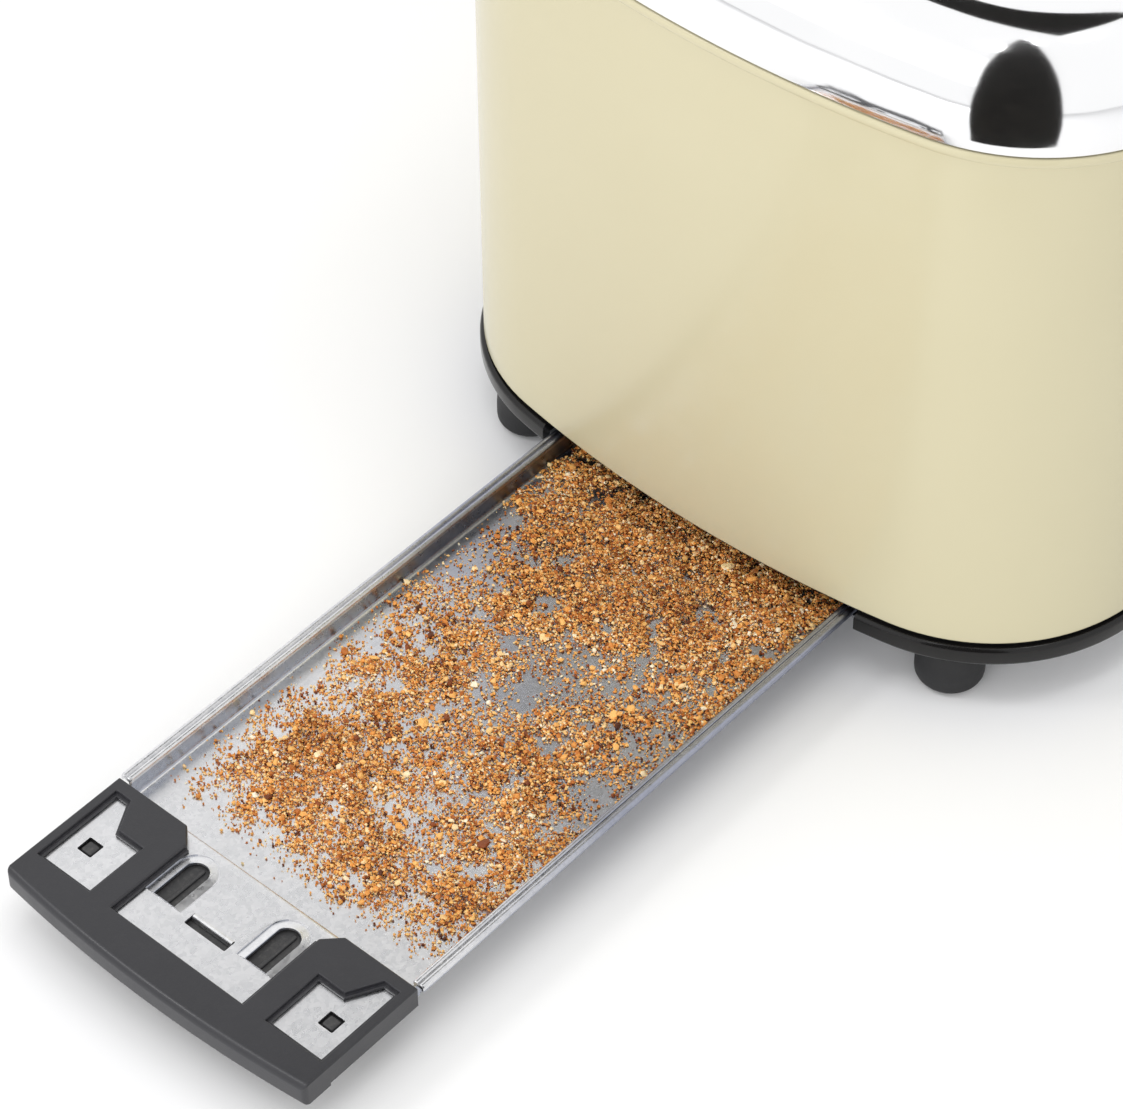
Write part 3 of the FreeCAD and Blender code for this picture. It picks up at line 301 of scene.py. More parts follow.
def makeEnamel():
    look = enamelLook
    material, tree, shader = startMaterial("creamEnamel", Coat_Weight=0.2, Coat_Roughness=0.05, Coat_IOR=1.5,
                                           Specular_IOR_Level=0.3)
    place = objectPlace(tree)
    cloud = noiseNode(tree, place, 18.0, 3.0)
    edge = useGroup(tree, edgeWear, Amount=0.25)
    tone = mixColours(tree, cloud, list(look["shade"]) + [1], list(look["colour"]) + [1])
    tone = mixColours(tree, edge["Mask"], tone, (0.80, 0.75, 0.58, 1))
    feed(tree, shader.inputs["Base Color"], tone)
    shader.inputs["Roughness"].default_value = look["roughness"]
    peel = noiseNode(tree, place, look["peelScale"], 2.0)
    addBump(tree, shader, peel, look["peelDepth"])
    return material


def makeChrome():
    material, tree, shader = startMaterial("chromePlate", Metallic=1.0)
    rub = useGroup(tree, handling, Low=0.05, High=0.10)
    place = objectPlace(tree)
    wave = noiseNode(tree, place, 60.0, 2.0)
    tone = mixColours(tree, wave, (0.90, 0.905, 0.915, 1), (0.955, 0.955, 0.96, 1))
    dress(tree, shader, tone, rub["Roughness"])
    addBump(tree, shader, wave, 0.00008)
    return material


def makeGlossBlack():
    material, tree, shader = startMaterial("glossBlack", Coat_Weight=0.18, Coat_Roughness=0.06,
                                           Specular_IOR_Level=0.22)
    rub = useGroup(tree, handling, Low=0.16, High=0.28)
    grain = useGroup(tree, fineGrain, Scale=1200.0)
    edge = useGroup(tree, edgeWear, Amount=0.35)
    film = useGroup(tree, dustFilm, Amount=0.006)
    tone = mixColours(tree, grain["Mottle"], (0.006, 0.006, 0.006, 1), (0.011, 0.010, 0.010, 1))
    tone = mixColours(tree, edge["Mask"], tone, (0.06, 0.06, 0.065, 1))
    tone = mixColours(tree, film["Mask"], tone, (0.35, 0.33, 0.30, 1))
    dress(tree, shader, tone, rub["Roughness"])
    addBump(tree, shader, grain["Height"], 0.000008)
    return material


def makeMica():
    material, tree, shader = startMaterial("micaSheet", Roughness=0.35, Coat_Weight=0.3, Coat_Roughness=0.25)
    place = objectPlace(tree)
    flakes = addNode(tree, "ShaderNodeTexVoronoi", {"Vector": place, "Scale": 130.0})
    grey = addNode(tree, "ShaderNodeSeparateColor", {"Color": flakes.outputs["Color"]}).outputs[0]
    fine = noiseNode(tree, place, 600.0, 4.0)
    tone = mixColours(tree, grey, (0.55, 0.48, 0.38, 1), (0.74, 0.69, 0.60, 1))
    tone = mixColours(tree, rangeNode(tree, fine, 0.4, 0.7, 0.0, 0.6), tone, (0.82, 0.79, 0.72, 1))
    feed(tree, shader.inputs["Base Color"], tone)
    addBump(tree, shader, grey, 0.00004)
    return material


def makeCopper():
    material, tree, shader = startMaterial("windingCopper", Metallic=0.85, Roughness=0.32)
    place = objectPlace(tree)
    turns = addNode(tree, "ShaderNodeTexWave", {"Vector": place, "Scale": 800.0, "Distortion": 0.4},
                    bands_direction="Z")
    tone = mixColours(tree, turns.outputs["Fac"], (0.20, 0.06, 0.02, 1), (0.68, 0.27, 0.10, 1))
    feed(tree, shader.inputs["Base Color"], tone)
    addBump(tree, shader, turns.outputs["Fac"], 0.0001)
    return material


def makeBoard():
    material, tree, shader = startMaterial("boardLacquer", Coat_Weight=0.5, Coat_Roughness=0.15)
    place = objectPlace(tree)
    turned = addNode(tree, "ShaderNodeMapping", {"Vector": place, "Rotation": (0, math.pi / 2, 0)})
    tracks = addNode(tree, "ShaderNodeTexBrick", {
        "Vector": turned.outputs[0], "Scale": 90.0, "Mortar Size": 0.03, "Mortar": (0.10, 0.34, 0.14, 1),
        "Color1": (0.02, 0.14, 0.06, 1), "Color2": (0.03, 0.19, 0.08, 1)})
    dress(tree, shader, tracks.outputs["Color"], rangeNode(tree, tracks.outputs["Fac"], 0.0, 1.0, 0.42, 0.3))
    addBump(tree, shader, tracks.outputs["Fac"], 0.00003)
    return material


def makeWireSleeve():
    material, tree, shader = startMaterial("wireSleeve")
    island = addNode(tree, "ShaderNodeNewGeometry").outputs["Random Per Island"]
    place = objectPlace(tree)
    cloud = noiseNode(tree, place, 300.0)
    tone = mixColours(tree, mathNode(tree, "GREATER_THAN", island, 0.5), (0.16, 0.06, 0.025, 1),
                      (0.03, 0.10, 0.38, 1))
    tone = mixColours(tree, rangeNode(tree, cloud, 0.3, 0.7, 0.0, 0.3), tone, (0.3, 0.28, 0.25, 1))
    dress(tree, shader, tone, rangeNode(tree, cloud, 0.3, 0.7, 0.35, 0.5))
    return material


crumbTones = [(0.00, (0.06, 0.012, 0.004)), (0.09, (0.26, 0.062, 0.012)), (0.21, (0.56, 0.18, 0.032)),
              (0.46, (0.83, 0.365, 0.08)), (0.74, (0.95, 0.55, 0.175)), (0.94, (0.98, 0.75, 0.41)),
              (1.00, (0.99, 0.89, 0.68))]


def makeCrumb():
    material, tree, shader = startMaterial("toastCrumb", Subsurface_Weight=0.12, Subsurface_Scale=0.0006)
    island = addNode(tree, "ShaderNodeNewGeometry").outputs["Random Per Island"]
    place = objectPlace(tree)
    patch = noiseNode(tree, place, 55.0, 3.0)
    speck = noiseNode(tree, place, 2600.0, 3.0)
    drift = mathNode(tree, "MULTIPLY", mathNode(tree, "SUBTRACT", patch, 0.5), 0.5)
    pick = mathNode(tree, "ADD", island, drift, True)
    ramp = addNode(tree, "ShaderNodeValToRGB", {"Fac": pick})
    stops = ramp.color_ramp.elements
    while len(stops) < len(crumbTones):
        stops.new(0.5)
    for stop, (position, colour) in zip(stops, crumbTones):
        stop.position = position
        stop.color = list(colour) + [1]
    tone = mixColours(tree, rangeNode(tree, speck, 0.35, 0.7, 0.0, 0.14), ramp.outputs["Color"],
                      (0.30, 0.11, 0.03, 1))
    dress(tree, shader, tone, rangeNode(tree, speck, 0.3, 0.7, 0.45, 0.75))
    addBump(tree, shader, speck, 0.00012)
    return material


creamEnamel = makeEnamel()
chromePlate = makeChrome()
glossBlack = makeGlossBlack()
footRubber = makeMoulded("footRubber", (0.016, 0.016, 0.017), (0.05, 0.05, 0.05), 0.55, 0.75, 1100.0,
                         0.00003)
handlePlastic = makeMoulded("handlePlastic", (0.024, 0.024, 0.028), (0.12, 0.12, 0.13), 0.30, 0.40, 2200.0,
                            0.000012, 0.5, 0.01)
darkMould = makeMoulded("darkMould", (0.03, 0.03, 0.032), (0.08, 0.08, 0.08), 0.45, 0.6)
# painted shade for the tray: a darker, bluer tint towards the end under the body, and a darker tint on the
# inner side walls
trayPaintedShade = {"from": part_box("base_ring")[0].x - 0.085, "to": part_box("base_ring")[0].x - 0.030,
            "tint": (0.47, 0.49, 0.58), "wall": (0.58, 0.61, 0.68),
            "wallTop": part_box("tray_pan")[1].z - 0.0013}
traySteel = makeZinc("traySteel", (0.77, 0.77, 0.785), (0.66, 0.665, 0.68), 0.24, 0.36, 1100.0, 0.012,
                     trayPaintedShade, 0.000008)
zincPlate = makeZinc("zincPlate", (0.66, 0.67, 0.69), (0.47, 0.48, 0.50), 0.30, 0.48, 170.0, 0.12)
guardSteel = makeMetal("guardSteel", (0.66, 0.65, 0.63), 0.22, 0.38, 900.0, 0.05, 0.000006, 0.3, 0.04)
ribbonSteel = makeMetal("ribbonSteel", (0.30, 0.27, 0.24), 0.38, 0.55, 1400.0, 0.05, 0.000006, 0.3, 0.0,
                        (0.12, 0.10, 0.13))
bushBrass = makeMetal("bushBrass", (0.80, 0.58, 0.26), 0.22, 0.36)
screwZinc = makeMetal("screwZinc", (0.70, 0.70, 0.71), 0.25, 0.40, 1800.0, 1.0)
micaSheet = makeMica()
windingCopper = makeCopper()
boardLacquer = makeBoard()
wireSleeve = makeWireSleeve()
toastCrumb = makeCrumb()
print("finishes made:", len(bpy.data.materials))


# Mesh helpers

def tidyMesh(mesh, crease=35.0):
    work = bmesh.new()
    work.from_mesh(mesh)
    bmesh.ops.remove_doubles(work, verts=work.verts, dist=1e-6)
    bmesh.ops.dissolve_degenerate(work, edges=work.edges, dist=1e-7)
    bmesh.ops.recalc_face_normals(work, faces=work.faces)
    work.to_mesh(mesh)
    work.free()
    for face in mesh.polygons:
        face.use_smooth = True
    mesh.set_sharp_from_angle(angle=math.radians(crease))


def newPiece(name, mesh, material, body, slot, *replaced):
    piece = bpy.data.objects.new(name, mesh)
    bpy.context.scene.collection.objects.link(piece)
    mesh.materials.clear()
    mesh.materials.append(material)
    if body:
        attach(piece, body)
    if replaced:
        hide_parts(*replaced)
    return piece


def meshFrom(name, points, faces, crease=35.0):
    mesh = bpy.data.meshes.new(name)
    mesh.from_pydata([tuple(p) for p in points], [], faces)
    tidyMesh(mesh, crease)
    return mesh


def joinMeshes(name, meshes, crease=35.0):
    work = bmesh.new()
    for mesh in meshes:
        work.from_mesh(mesh)
    joined = bpy.data.meshes.new(name)
    work.to_mesh(joined)
    work.free()
    for mesh in meshes:
        bpy.data.meshes.remove(mesh)
    for face in joined.polygons:
        face.use_smooth = True
    joined.set_sharp_from_angle(angle=math.radians(crease))
    return joined


def bakeModifiers(mesh, addTo, crease=35.0):  # runs modifiers on a mesh and returns the new mesh
    holder = bpy.data.objects.new("holder", mesh)
    bpy.context.scene.collection.objects.link(holder)
    addTo(holder)
    graph = bpy.context.evaluated_depsgraph_get()
    graph.update()
    made = bpy.data.meshes.new_from_object(holder.evaluated_get(graph))
    bpy.data.objects.remove(holder)
    bpy.data.meshes.remove(mesh)
    tidyMesh(made, crease)
    return made


def roundEdges(mesh, width, segments=3, angle=40.0, weighted=False):
    def add(holder):
        bevel = holder.modifiers.new("round", "BEVEL")
        bevel.width = width
        bevel.segments = segments
        bevel.limit_method = "WEIGHT" if weighted else "ANGLE"
        bevel.angle_limit = math.radians(angle)
        bevel.use_clamp_overlap = not weighted
    return bakeModifiers(mesh, add)


def cutAway(mesh, cutters):
    holders = []
    for cutter in cutters:
        holder = bpy.data.objects.new("cutter", cutter)
        bpy.context.scene.collection.objects.link(holder)
        holders.append(holder)

    def add(target):
        for holder in holders:
            boolean = target.modifiers.new("cut", "BOOLEAN")
            boolean.operation = "DIFFERENCE"
            boolean.solver = "EXACT"
            boolean.object = holder
    made = bakeModifiers(mesh, add)
    for holder in holders:
        cutter = holder.data
        bpy.data.objects.remove(holder)
        bpy.data.meshes.remove(cutter)
    return made


def boxMesh(low, high):
    points = [(x, y, z) for x in (low[0], high[0]) for y in (low[1], high[1]) for z in (low[2], high[2])]
    faces = [(0, 1, 3, 2), (4, 6, 7, 5), (0, 4, 5, 1), (2, 3, 7, 6), (0, 2, 6, 4), (1, 5, 7, 3)]
    return meshFrom("box", points, faces)


def prismMesh(outline, low, high):
    count = len(outline)
    points = [(x, y, z) for z in (low, high) for x, y in outline]
    faces = [tuple(range(count)), tuple(range(count, 2 * count))]
    faces += [(i, (i + 1) % count, count + (i + 1) % count, count + i) for i in range(count)]
    return meshFrom("prism", points, faces)


def evenShading(piece):  # flat faces stay flat beside their round edges
    weighted = piece.modifiers.new("even", "WEIGHTED_NORMAL")
    weighted.keep_sharp = True
    weighted.weight = 80


def arcPoints(centre, radius, start, end, steps):  # angles in degrees
    points = []
    for step in range(steps + 1):
        angle = math.radians(start + (end - start) * step / steps)
        points.append((centre[0] + radius * math.cos(angle), centre[1] + radius * math.sin(angle)))
    return points


def roundedBox(x0, x1, y0, y1, radius, steps=8):  # a closed outline with round corners
    outline = []
    corners = [(x1 - radius, y1 - radius, 0), (x0 + radius, y1 - radius, 90),
               (x0 + radius, y0 + radius, 180), (x1 - radius, y0 + radius, 270)]
    for x, y, start in corners:
        outline += arcPoints((x, y), radius, start, start + 90, steps)
    return outline


def plateMesh(outlines, low, high, radius=0.0, roundSteps=3):  # a flat plate with holes and round edges
    curve = bpy.data.curves.new("plate", "CURVE")
    curve.dimensions = "2D"
    curve.fill_mode = "BOTH"
    curve.extrude = (high - low) / 2 - radius
    curve.bevel_depth = radius
    curve.bevel_resolution = roundSteps
    curve.offset = -radius
    for outline in outlines:
        spline = curve.splines.new("POLY")
        spline.points.add(len(outline) - 1)
        for point, (x, y) in zip(spline.points, outline):
            point.co = (x, y, 0, 1)
        spline.use_cyclic_u = True
    holder = bpy.data.objects.new("plate", curve)
    bpy.context.scene.collection.objects.link(holder)
    graph = bpy.context.evaluated_depsgraph_get()
    graph.update()
    mesh = bpy.data.meshes.new_from_object(holder.evaluated_get(graph))
    bpy.data.objects.remove(holder)
    bpy.data.curves.remove(curve)
    mesh.transform(Matrix.Translation((0, 0, (low + high) / 2)))
    tidyMesh(mesh)
    return mesh


towardsX = Matrix(((0, 0, 1, 0), (1, 0, 0, 0), (0, 1, 0, 0), (0, 0, 0, 1)))  # stands a flat plate up


def latheMesh(profile, axisPoint, axis="Z", steps=64):  # profile of (radius, height along the axis)
    points = []
    faces = []
    count = len(profile)
    for step in range(steps):
        angle = 2 * math.pi * step / steps
        for radius, height in profile:
            a, b = radius * math.cos(angle), radius * math.sin(angle)
            local = (a, b, height) if axis == "Z" else (height, a, b)
            points.append([c + o for c, o in zip(local, axisPoint)])
    for step in range(steps):
        here, there = step * count, (step + 1) % steps * count
        for i in range(count - 1):
            faces.append((here + i, there + i, there + i + 1, here + i + 1))
    return meshFrom("lathe", points, faces)


def loftMesh(loops, closed=True, caps=False):  # loops of the same number of points
    count = len(loops[0])
    points = [p for loop in loops for p in loop]
    faces = []
    rounds = len(loops) if closed else len(loops) - 1
    for row in range(rounds):
        here, there = row * count, (row + 1) % len(loops) * count
        for i in range(count):
            j = (i + 1) % count
            faces.append((here + i, here + j, there + j, there + i))
    if caps:
        faces.append(tuple(range(count)))
        faces.append(tuple(range((len(loops) - 1) * count, len(loops) * count)))
    return meshFrom("loft", points, faces)


# The plan outline of the body: bowed ends, round corners, straight sides

chromeLow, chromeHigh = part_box("chrome_top")
bodyPlan = {"bow": 320 * mm, "corner": 48 * mm, "proud": 0.3 * mm, "bowSteps": 26, "cornerSteps": 26,
            "sideSteps": 14}
halfLength = chromeHigh.x - bodyPlan["proud"]
halfWidth = chromeHigh.y - bodyPlan["proud"]
bowX = halfLength - bodyPlan["bow"]
cornerY = halfWidth - bodyPlan["corner"]
cornerX = bowX + math.sqrt((bodyPlan["bow"] - bodyPlan["corner"]) ** 2 - cornerY ** 2)
bowTurn = math.degrees(math.atan2(cornerY, cornerX - bowX))


def quarterLoop(quarter):  # mirrors the points of one quarter, given from the +X end to the +Y side
    right = quarter + [(-x, y) for x, y in reversed(quarter[:-1])]
    return right[:-1] + [(x, -y) for x, y in reversed(right[1:])]


def planLoop(offset, z):
    bow = arcPoints((bowX, 0), bodyPlan["bow"] + offset, 0, bowTurn, bodyPlan["bowSteps"])
    corner = arcPoints((cornerX, cornerY), bodyPlan["corner"] + offset, bowTurn, 90, bodyPlan["cornerSteps"])
    side = []
    for step in range(1, bodyPlan["sideSteps"] + 1):
        side.append((cornerX * (1 - step / bodyPlan["sideSteps"]), halfWidth + offset))
    return [(x, y, z) for x, y in quarterLoop(bow + corner[1:] + side)]


def boxLoop(halfX, halfY, radius, z):  # a rounded rectangle with the same number of points as planLoop
    end = []
    for step in range(bodyPlan["bowSteps"] + 1):
        end.append((halfX, (halfY - radius) * step / bodyPlan["bowSteps"]))
    corner = arcPoints((halfX - radius, halfY - radius), radius, 0, 90, bodyPlan["cornerSteps"])
    side = []
    for step in range(1, bodyPlan["sideSteps"] + 1):
        side.append(((halfX - radius) * (1 - step / bodyPlan["sideSteps"]), halfY))
    return [(x, y, z) for x, y in quarterLoop(end + corner[1:] + side)]


def endX(y, offset=0.0):  # where the bowed end stands at a given y
    return bowX + math.sqrt((bodyPlan["bow"] + offset) ** 2 - y ** 2)


def blendLoops(first, last, share, lift=0.0):
    return [(a[0] + (b[0] - a[0]) * share, a[1] + (b[1] - a[1]) * share, a[2] + (b[2] - a[2]) * share + lift)
            for a, b in zip(first, last)]


# Enamelled shell with a rolled foot and a bead at the top

shellLow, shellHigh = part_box("shell")
shellShape = {"sheet": 0.8 * mm, "bead": 0.7 * mm, "beadHeight": 2.4 * mm, "panelGap": 0.3 * mm,
              "panelCorner": 8.3 * mm, "wallSteps": 24}
panelZone = {"half": 37 * mm, "low": 24.5 * mm, "high": shellHigh.z - 2.5 * mm, "corner": 8 * mm}


def makeShell():
    look = shellShape
    low, high, sheet = shellLow.z, shellHigh.z, look["sheet"]
    profile = [(-sheet, low + 0.35 * mm), (-sheet * 0.75, low + 0.08 * mm), (-sheet * 0.5, low)]
    profile += [(-sheet * 0.25, low + 0.08 * mm), (-0.05 * mm, low + 0.3 * mm), (0, low + 0.7 * mm)]
    wallTop = high - look["beadHeight"] - 0.6 * mm
    for step in range(1, look["wallSteps"] + 1):
        profile.append((0, low + 0.7 * mm + (wallTop - low - 0.7 * mm) * step / look["wallSteps"]))
    middle = high - look["beadHeight"] / 2
    profile.append((0.06 * mm, high - look["beadHeight"] - 0.1 * mm))
    for angle in range(-70, 91, 20):
        turn = math.radians(angle)
        profile.append((look["bead"] * (0.35 + 0.65 * math.cos(turn)), middle + math.sin(turn) * 1.15 * mm))
    profile += [(0.0, high - 0.02 * mm), (-sheet * 0.5, high), (-sheet, high - 0.1 * mm)]
    mesh = loftMesh([planLoop(offset, z) for offset, z in profile])
    grow = look["panelGap"]
    window = roundedBox(-panelZone["half"] - grow, panelZone["half"] + grow, panelZone["low"] - grow,
                        panelZone["high"] + grow, look["panelCorner"], 12)
    cutter = plateMesh([window], halfLength - 30 * mm, halfLength + 30 * mm)
    cutter.transform(towardsX)
    mesh = cutAway(mesh, [cutter])
    newPiece("enamelShell", mesh, creamEnamel, "housing", "cream_enamel", "shell")


makeShell()


# Chrome cap: upright lip, round shoulder, gently crowned top and a turned-down window

frameLow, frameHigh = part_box("slot_frame")
capShape = {"sheet": 0.8 * mm, "shoulder": 20 * mm, "shoulderSteps": 18, "crown": 0.25 * mm,
            "windowX": 86 * mm, "windowY": 62 * mm, "windowGap": 0.3 * mm, "windowCorner": 16.3 * mm,
            "windowDeep": 3.2 * mm, "turn": 0.9 * mm}


def makeCap():
    look = capShape
    low, proud, sheet = chromeLow.z, bodyPlan["proud"], look["sheet"]
    top = chromeHigh.z - look["crown"]
    windowX = look["windowX"] + look["windowGap"]
    windowY = look["windowY"] + look["windowGap"]
    loops = [planLoop(proud - sheet, low + 0.3 * mm), planLoop(proud - sheet * 0.5, low)]
    loops += [planLoop(proud - 0.1 * mm, low + 0.12 * mm), planLoop(proud, low + 0.5 * mm)]
    loops.append(planLoop(proud, top - look["shoulder"] - 1.5 * mm))
    radius = look["shoulder"]
    centre = (proud - radius, top - radius)
    loops += [planLoop(x, z) for x, z in arcPoints(centre, radius, 0, 90, look["shoulderSteps"])]
    rimX, rimY, corner = windowX + look["turn"], windowY + look["turn"], look["windowCorner"] + look["turn"]
    edge = loops[-1]
    rim = boxLoop(rimX, rimY, corner, top)
    for share in (0.2, 0.4, 0.6, 0.8):
        loops.append(blendLoops(edge, rim, share, look["crown"] * math.sin(math.pi * share)))
    for angle in range(0, 91, 18):
        turn = math.radians(angle)
        inset = look["turn"] * math.sin(turn)
        drop = look["turn"] * (1 - math.cos(turn))
        loops.append(boxLoop(rimX - inset, rimY - inset, corner - inset, top - drop))
    for grow, drop in ((0, look["windowDeep"]), (sheet, look["windowDeep"]), (sheet, sheet + 0.2 * mm)):
        loops.append(boxLoop(windowX + grow, windowY + grow, look["windowCorner"] + grow, top - drop))
    loops.append(planLoop(proud - radius, top - sheet))
    loops += [planLoop(x, z) for x, z in arcPoints(centre, radius - sheet, 60, 0, 2)]
    newPiece("chromeCap", loftMesh(loops, True), chromePlate, "housing", "chrome", "chrome_top")


makeCap()


# Slot frame: a thick black moulding with two round-lipped bread slots, funnels and screw posts

slotShape = {"length": 146 * mm, "width": 34 * mm, "corner": 7 * mm, "spacing": 62 * mm, "lip": 1.5 * mm,
             "wall": 1.8 * mm, "plate": 6.4 * mm, "edge": 1.2 * mm, "post": 3.5 * mm, "postInset": 7 * mm,
             "funnel": 5 * mm, "postHole": 1.5 * mm, "plateCorner": 16 * mm}


def slotOutline(y, grow=0.0):
    look = slotShape
    halfX = look["length"] / 2 + grow
    halfY = look["width"] / 2 + grow
    return roundedBox(-halfX, halfX, y - halfY, y + halfY, look["corner"] + grow, 12)


def makeSlotFrame():
    look = slotShape
    x, y = frameHigh.x, frameHigh.y
    slots = [slotOutline(side * look["spacing"] / 2) for side in (-1, 1)]
    top = frameHigh.z
    low = top - look["plate"]
    plate = plateMesh([roundedBox(-x, x, -y, y, look["plateCorner"], 16)] + slots, low, top, look["edge"], 4)
    meshes = [plate]
    for side in (-1, 1):
        middle = side * look["spacing"] / 2
        walls = [slotOutline(middle, look["wall"]), slotOutline(middle)]
        meshes.append(plateMesh(walls, low - look["funnel"], low + 0.5 * mm, 0.4 * mm, 2))
    postLow = frameLow.z
    for sideX in (-1, 1):
        for sideY in (-1, 1):
            place = (sideX * (x - look["postInset"]), sideY * (y - look["postInset"]), 0)
            radius, hole = look["post"], look["postHole"]
            profile = [(radius + 0.8 * mm, low + 0.2 * mm), (radius, low - 0.8 * mm)]
            profile += [(radius, postLow + 0.3 * mm), (radius - 0.3 * mm, postLow), (hole, postLow)]
            profile += [(hole, low - 1 * mm), (0.01 * mm, low - 1 * mm)]
            meshes.append(latheMesh(profile, place, "Z", 32))
    mesh = joinMeshes("slotFrame", meshes)
    evenShading(newPiece("slotMoulding", mesh, glossBlack, "housing", "gloss_black", "slot_frame"))


makeSlotFrame()


# Base ring with a round ledge, a groove under the shell, and a mouth for the tray

ringLow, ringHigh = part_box("base_ring")
ringShape = {"proud": 1.0 * mm, "skirt": 2.5 * mm, "web": 10.5 * mm, "webThick": 3.2 * mm,
             "tongue": 2.2 * mm, "edge": 1.2 * mm, "ringTop": 19.2 * mm, "mouth": 47.9 * mm, "lip": 41 * mm}


def makeBaseRing():
    look = ringShape
    top, low, proud, edge = look["ringTop"], ringLow.z, look["proud"], look["edge"]
    tongueOut = -shellShape["sheet"] - 0.3 * mm
    skirtIn = proud - look["skirt"]
    webIn = skirtIn - look["web"]
    profile = arcPoints((proud - edge, low + edge), edge, -90, 0, 6)
    profile += arcPoints((proud - edge, top - edge), edge, 0, 90, 6)
    profile += [(tongueOut, top), (tongueOut, ringHigh.z - 0.3 * mm), (tongueOut - 0.3 * mm, ringHigh.z)]
    profile += [(tongueOut - look["tongue"] + 0.3 * mm, ringHigh.z)]
    profile += [(tongueOut - look["tongue"], ringHigh.z - 0.3 * mm), (tongueOut - look["tongue"], top)]
    profile += [(webIn, top), (webIn, top - look["webThick"]), (skirtIn, top - look["webThick"])]
    profile += [(skirtIn, low + 0.3 * mm), (skirtIn + 0.3 * mm, low)]
    mesh = loftMesh([planLoop(offset, z) for offset, z in profile])
    mouth = boxMesh((-halfLength * 1.2, -look["mouth"], -0.01), (-halfLength / 2, look["mouth"], top))
    panel = boxMesh((halfLength / 2, -look["lip"], top), (halfLength * 1.2, look["lip"], ringHigh.z + 0.01))
    mesh = cutAway(mesh, [mouth, panel])
    newPiece("baseRing", mesh, glossBlack, "housing", "gloss_black", "base_ring")


makeBaseRing()


# Feet: soft black pads with a moulded step and a shallow hollow underneath

footShape = {"edge": 3.0 * mm, "hollow": 4.6 * mm, "depth": 0.5 * mm, "neck": 6.5 * mm, "peg": 2.5 * mm}


def makeFoot(number):
    look = footShape
    low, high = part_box("foot_" + str(number))
    radius = (high.x - low.x) / 2
    edge = look["edge"]
    shoulder = ringLow.z - 0.4 * mm
    profile = [(0.01 * mm, look["depth"]), (look["hollow"] - 0.5 * mm, look["depth"]), (look["hollow"], 0)]
    profile.append((radius - edge, 0))
    profile += arcPoints((radius - edge, edge), edge, -75, 0, 5)
    bulge = [(radius, edge + 3 * mm), (radius - 0.25 * mm, shoulder - 3.2 * mm)]
    profile += bulge + [(radius - 0.45 * mm, shoulder - 1.5 * mm)]
    profile += arcPoints((radius - 1.95 * mm, shoulder - 1.5 * mm), 1.5 * mm, 15, 90, 5)
    profile += [(look["neck"], shoulder), (look["neck"], 15.2 * mm), (look["peg"], 15.2 * mm)]
    profile += [(look["peg"], high.z - 0.5 * mm), (look["peg"] - 0.5 * mm, high.z), (0.01 * mm, high.z)]
    centre = ((low.x + high.x) / 2, (low.y + high.y) / 2, 0)
    mesh = latheMesh(profile, centre, "Z", 56)
    newPiece("footPad" + str(number), mesh, footRubber, "housing", "foot_black", "foot_" + str(number))


for number in (1, 2, 3, 4):
    makeFoot(number)
print("body made")


# Crumb tray: floor, upright sides with a folded hem, a ramp up to the flange and the flange's cut-outs

trayLow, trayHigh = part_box("tray_pan")
handleLow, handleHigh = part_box("tray_handle")
traySlide = {"sheet": 0.6 * mm, "floor": 12.5 * mm, "rimTop": trayHigh.z, "half": trayHigh.y,
             "rim": 2.6 * mm, "lip": 1.7 * mm, "front": 1.0 * mm, "ramp": 2.0 * mm,
             "flangeTop": 16.5 * mm, "bend": 1.1 * mm, "grip": 4.6 * mm, "steps": 24, "pegHole": 2.1 * mm,
             "lock": 10 * mm, "lockHalfX": 1.7 * mm, "lockHalfY": 6.1 * mm}
trayInner = traySlide["half"] - traySlide["rim"]
handleBack = handleHigh.x
barBack = trayLow.x + traySlide["grip"]
trayFront = handleBack + traySlide["front"]


def sideSection(side):  # the folded hem: up the inside, over the top with a shallow valley, down the outside
    look = traySlide
    inner, outer, top, sheet = trayInner, look["half"], look["rimTop"], look["sheet"]
    floor, low = look["floor"], look["floor"] - look["sheet"]
    bend = look["bend"]
    points = [(0.0, floor)]
    points += arcPoints((inner - sheet - bend, floor + bend), bend, -90, 0, 5)
    points += arcPoints((inner - sheet + 0.75 * mm, top - 0.75 * mm), 0.75 * mm, 180, 45, 5)
    points += [(inner + 0.75 * mm, top - 0.55 * mm), (inner + 1.05 * mm, top - 0.60 * mm)]
    points += arcPoints((outer - 0.8 * mm, top - 0.8 * mm), 0.8 * mm, 117, 9, 4)
    points += [(outer, top - look["lip"]), (outer - 0.3 * mm, top - look["lip"] - 0.15 * mm)]
    points += [(outer - sheet, top - look["lip"] + 0.1 * mm), (outer - sheet, top - 1.15 * mm)]
    points += [(inner + 0.9 * mm, top - 1.2 * mm), (inner, top - 1.3 * mm)]
    points += arcPoints((inner - bend - 0.001 * mm, low + bend), bend, 0, -90, 5)
    points.append((0.0, low))
    return [(side * y, z) for y, z in points]


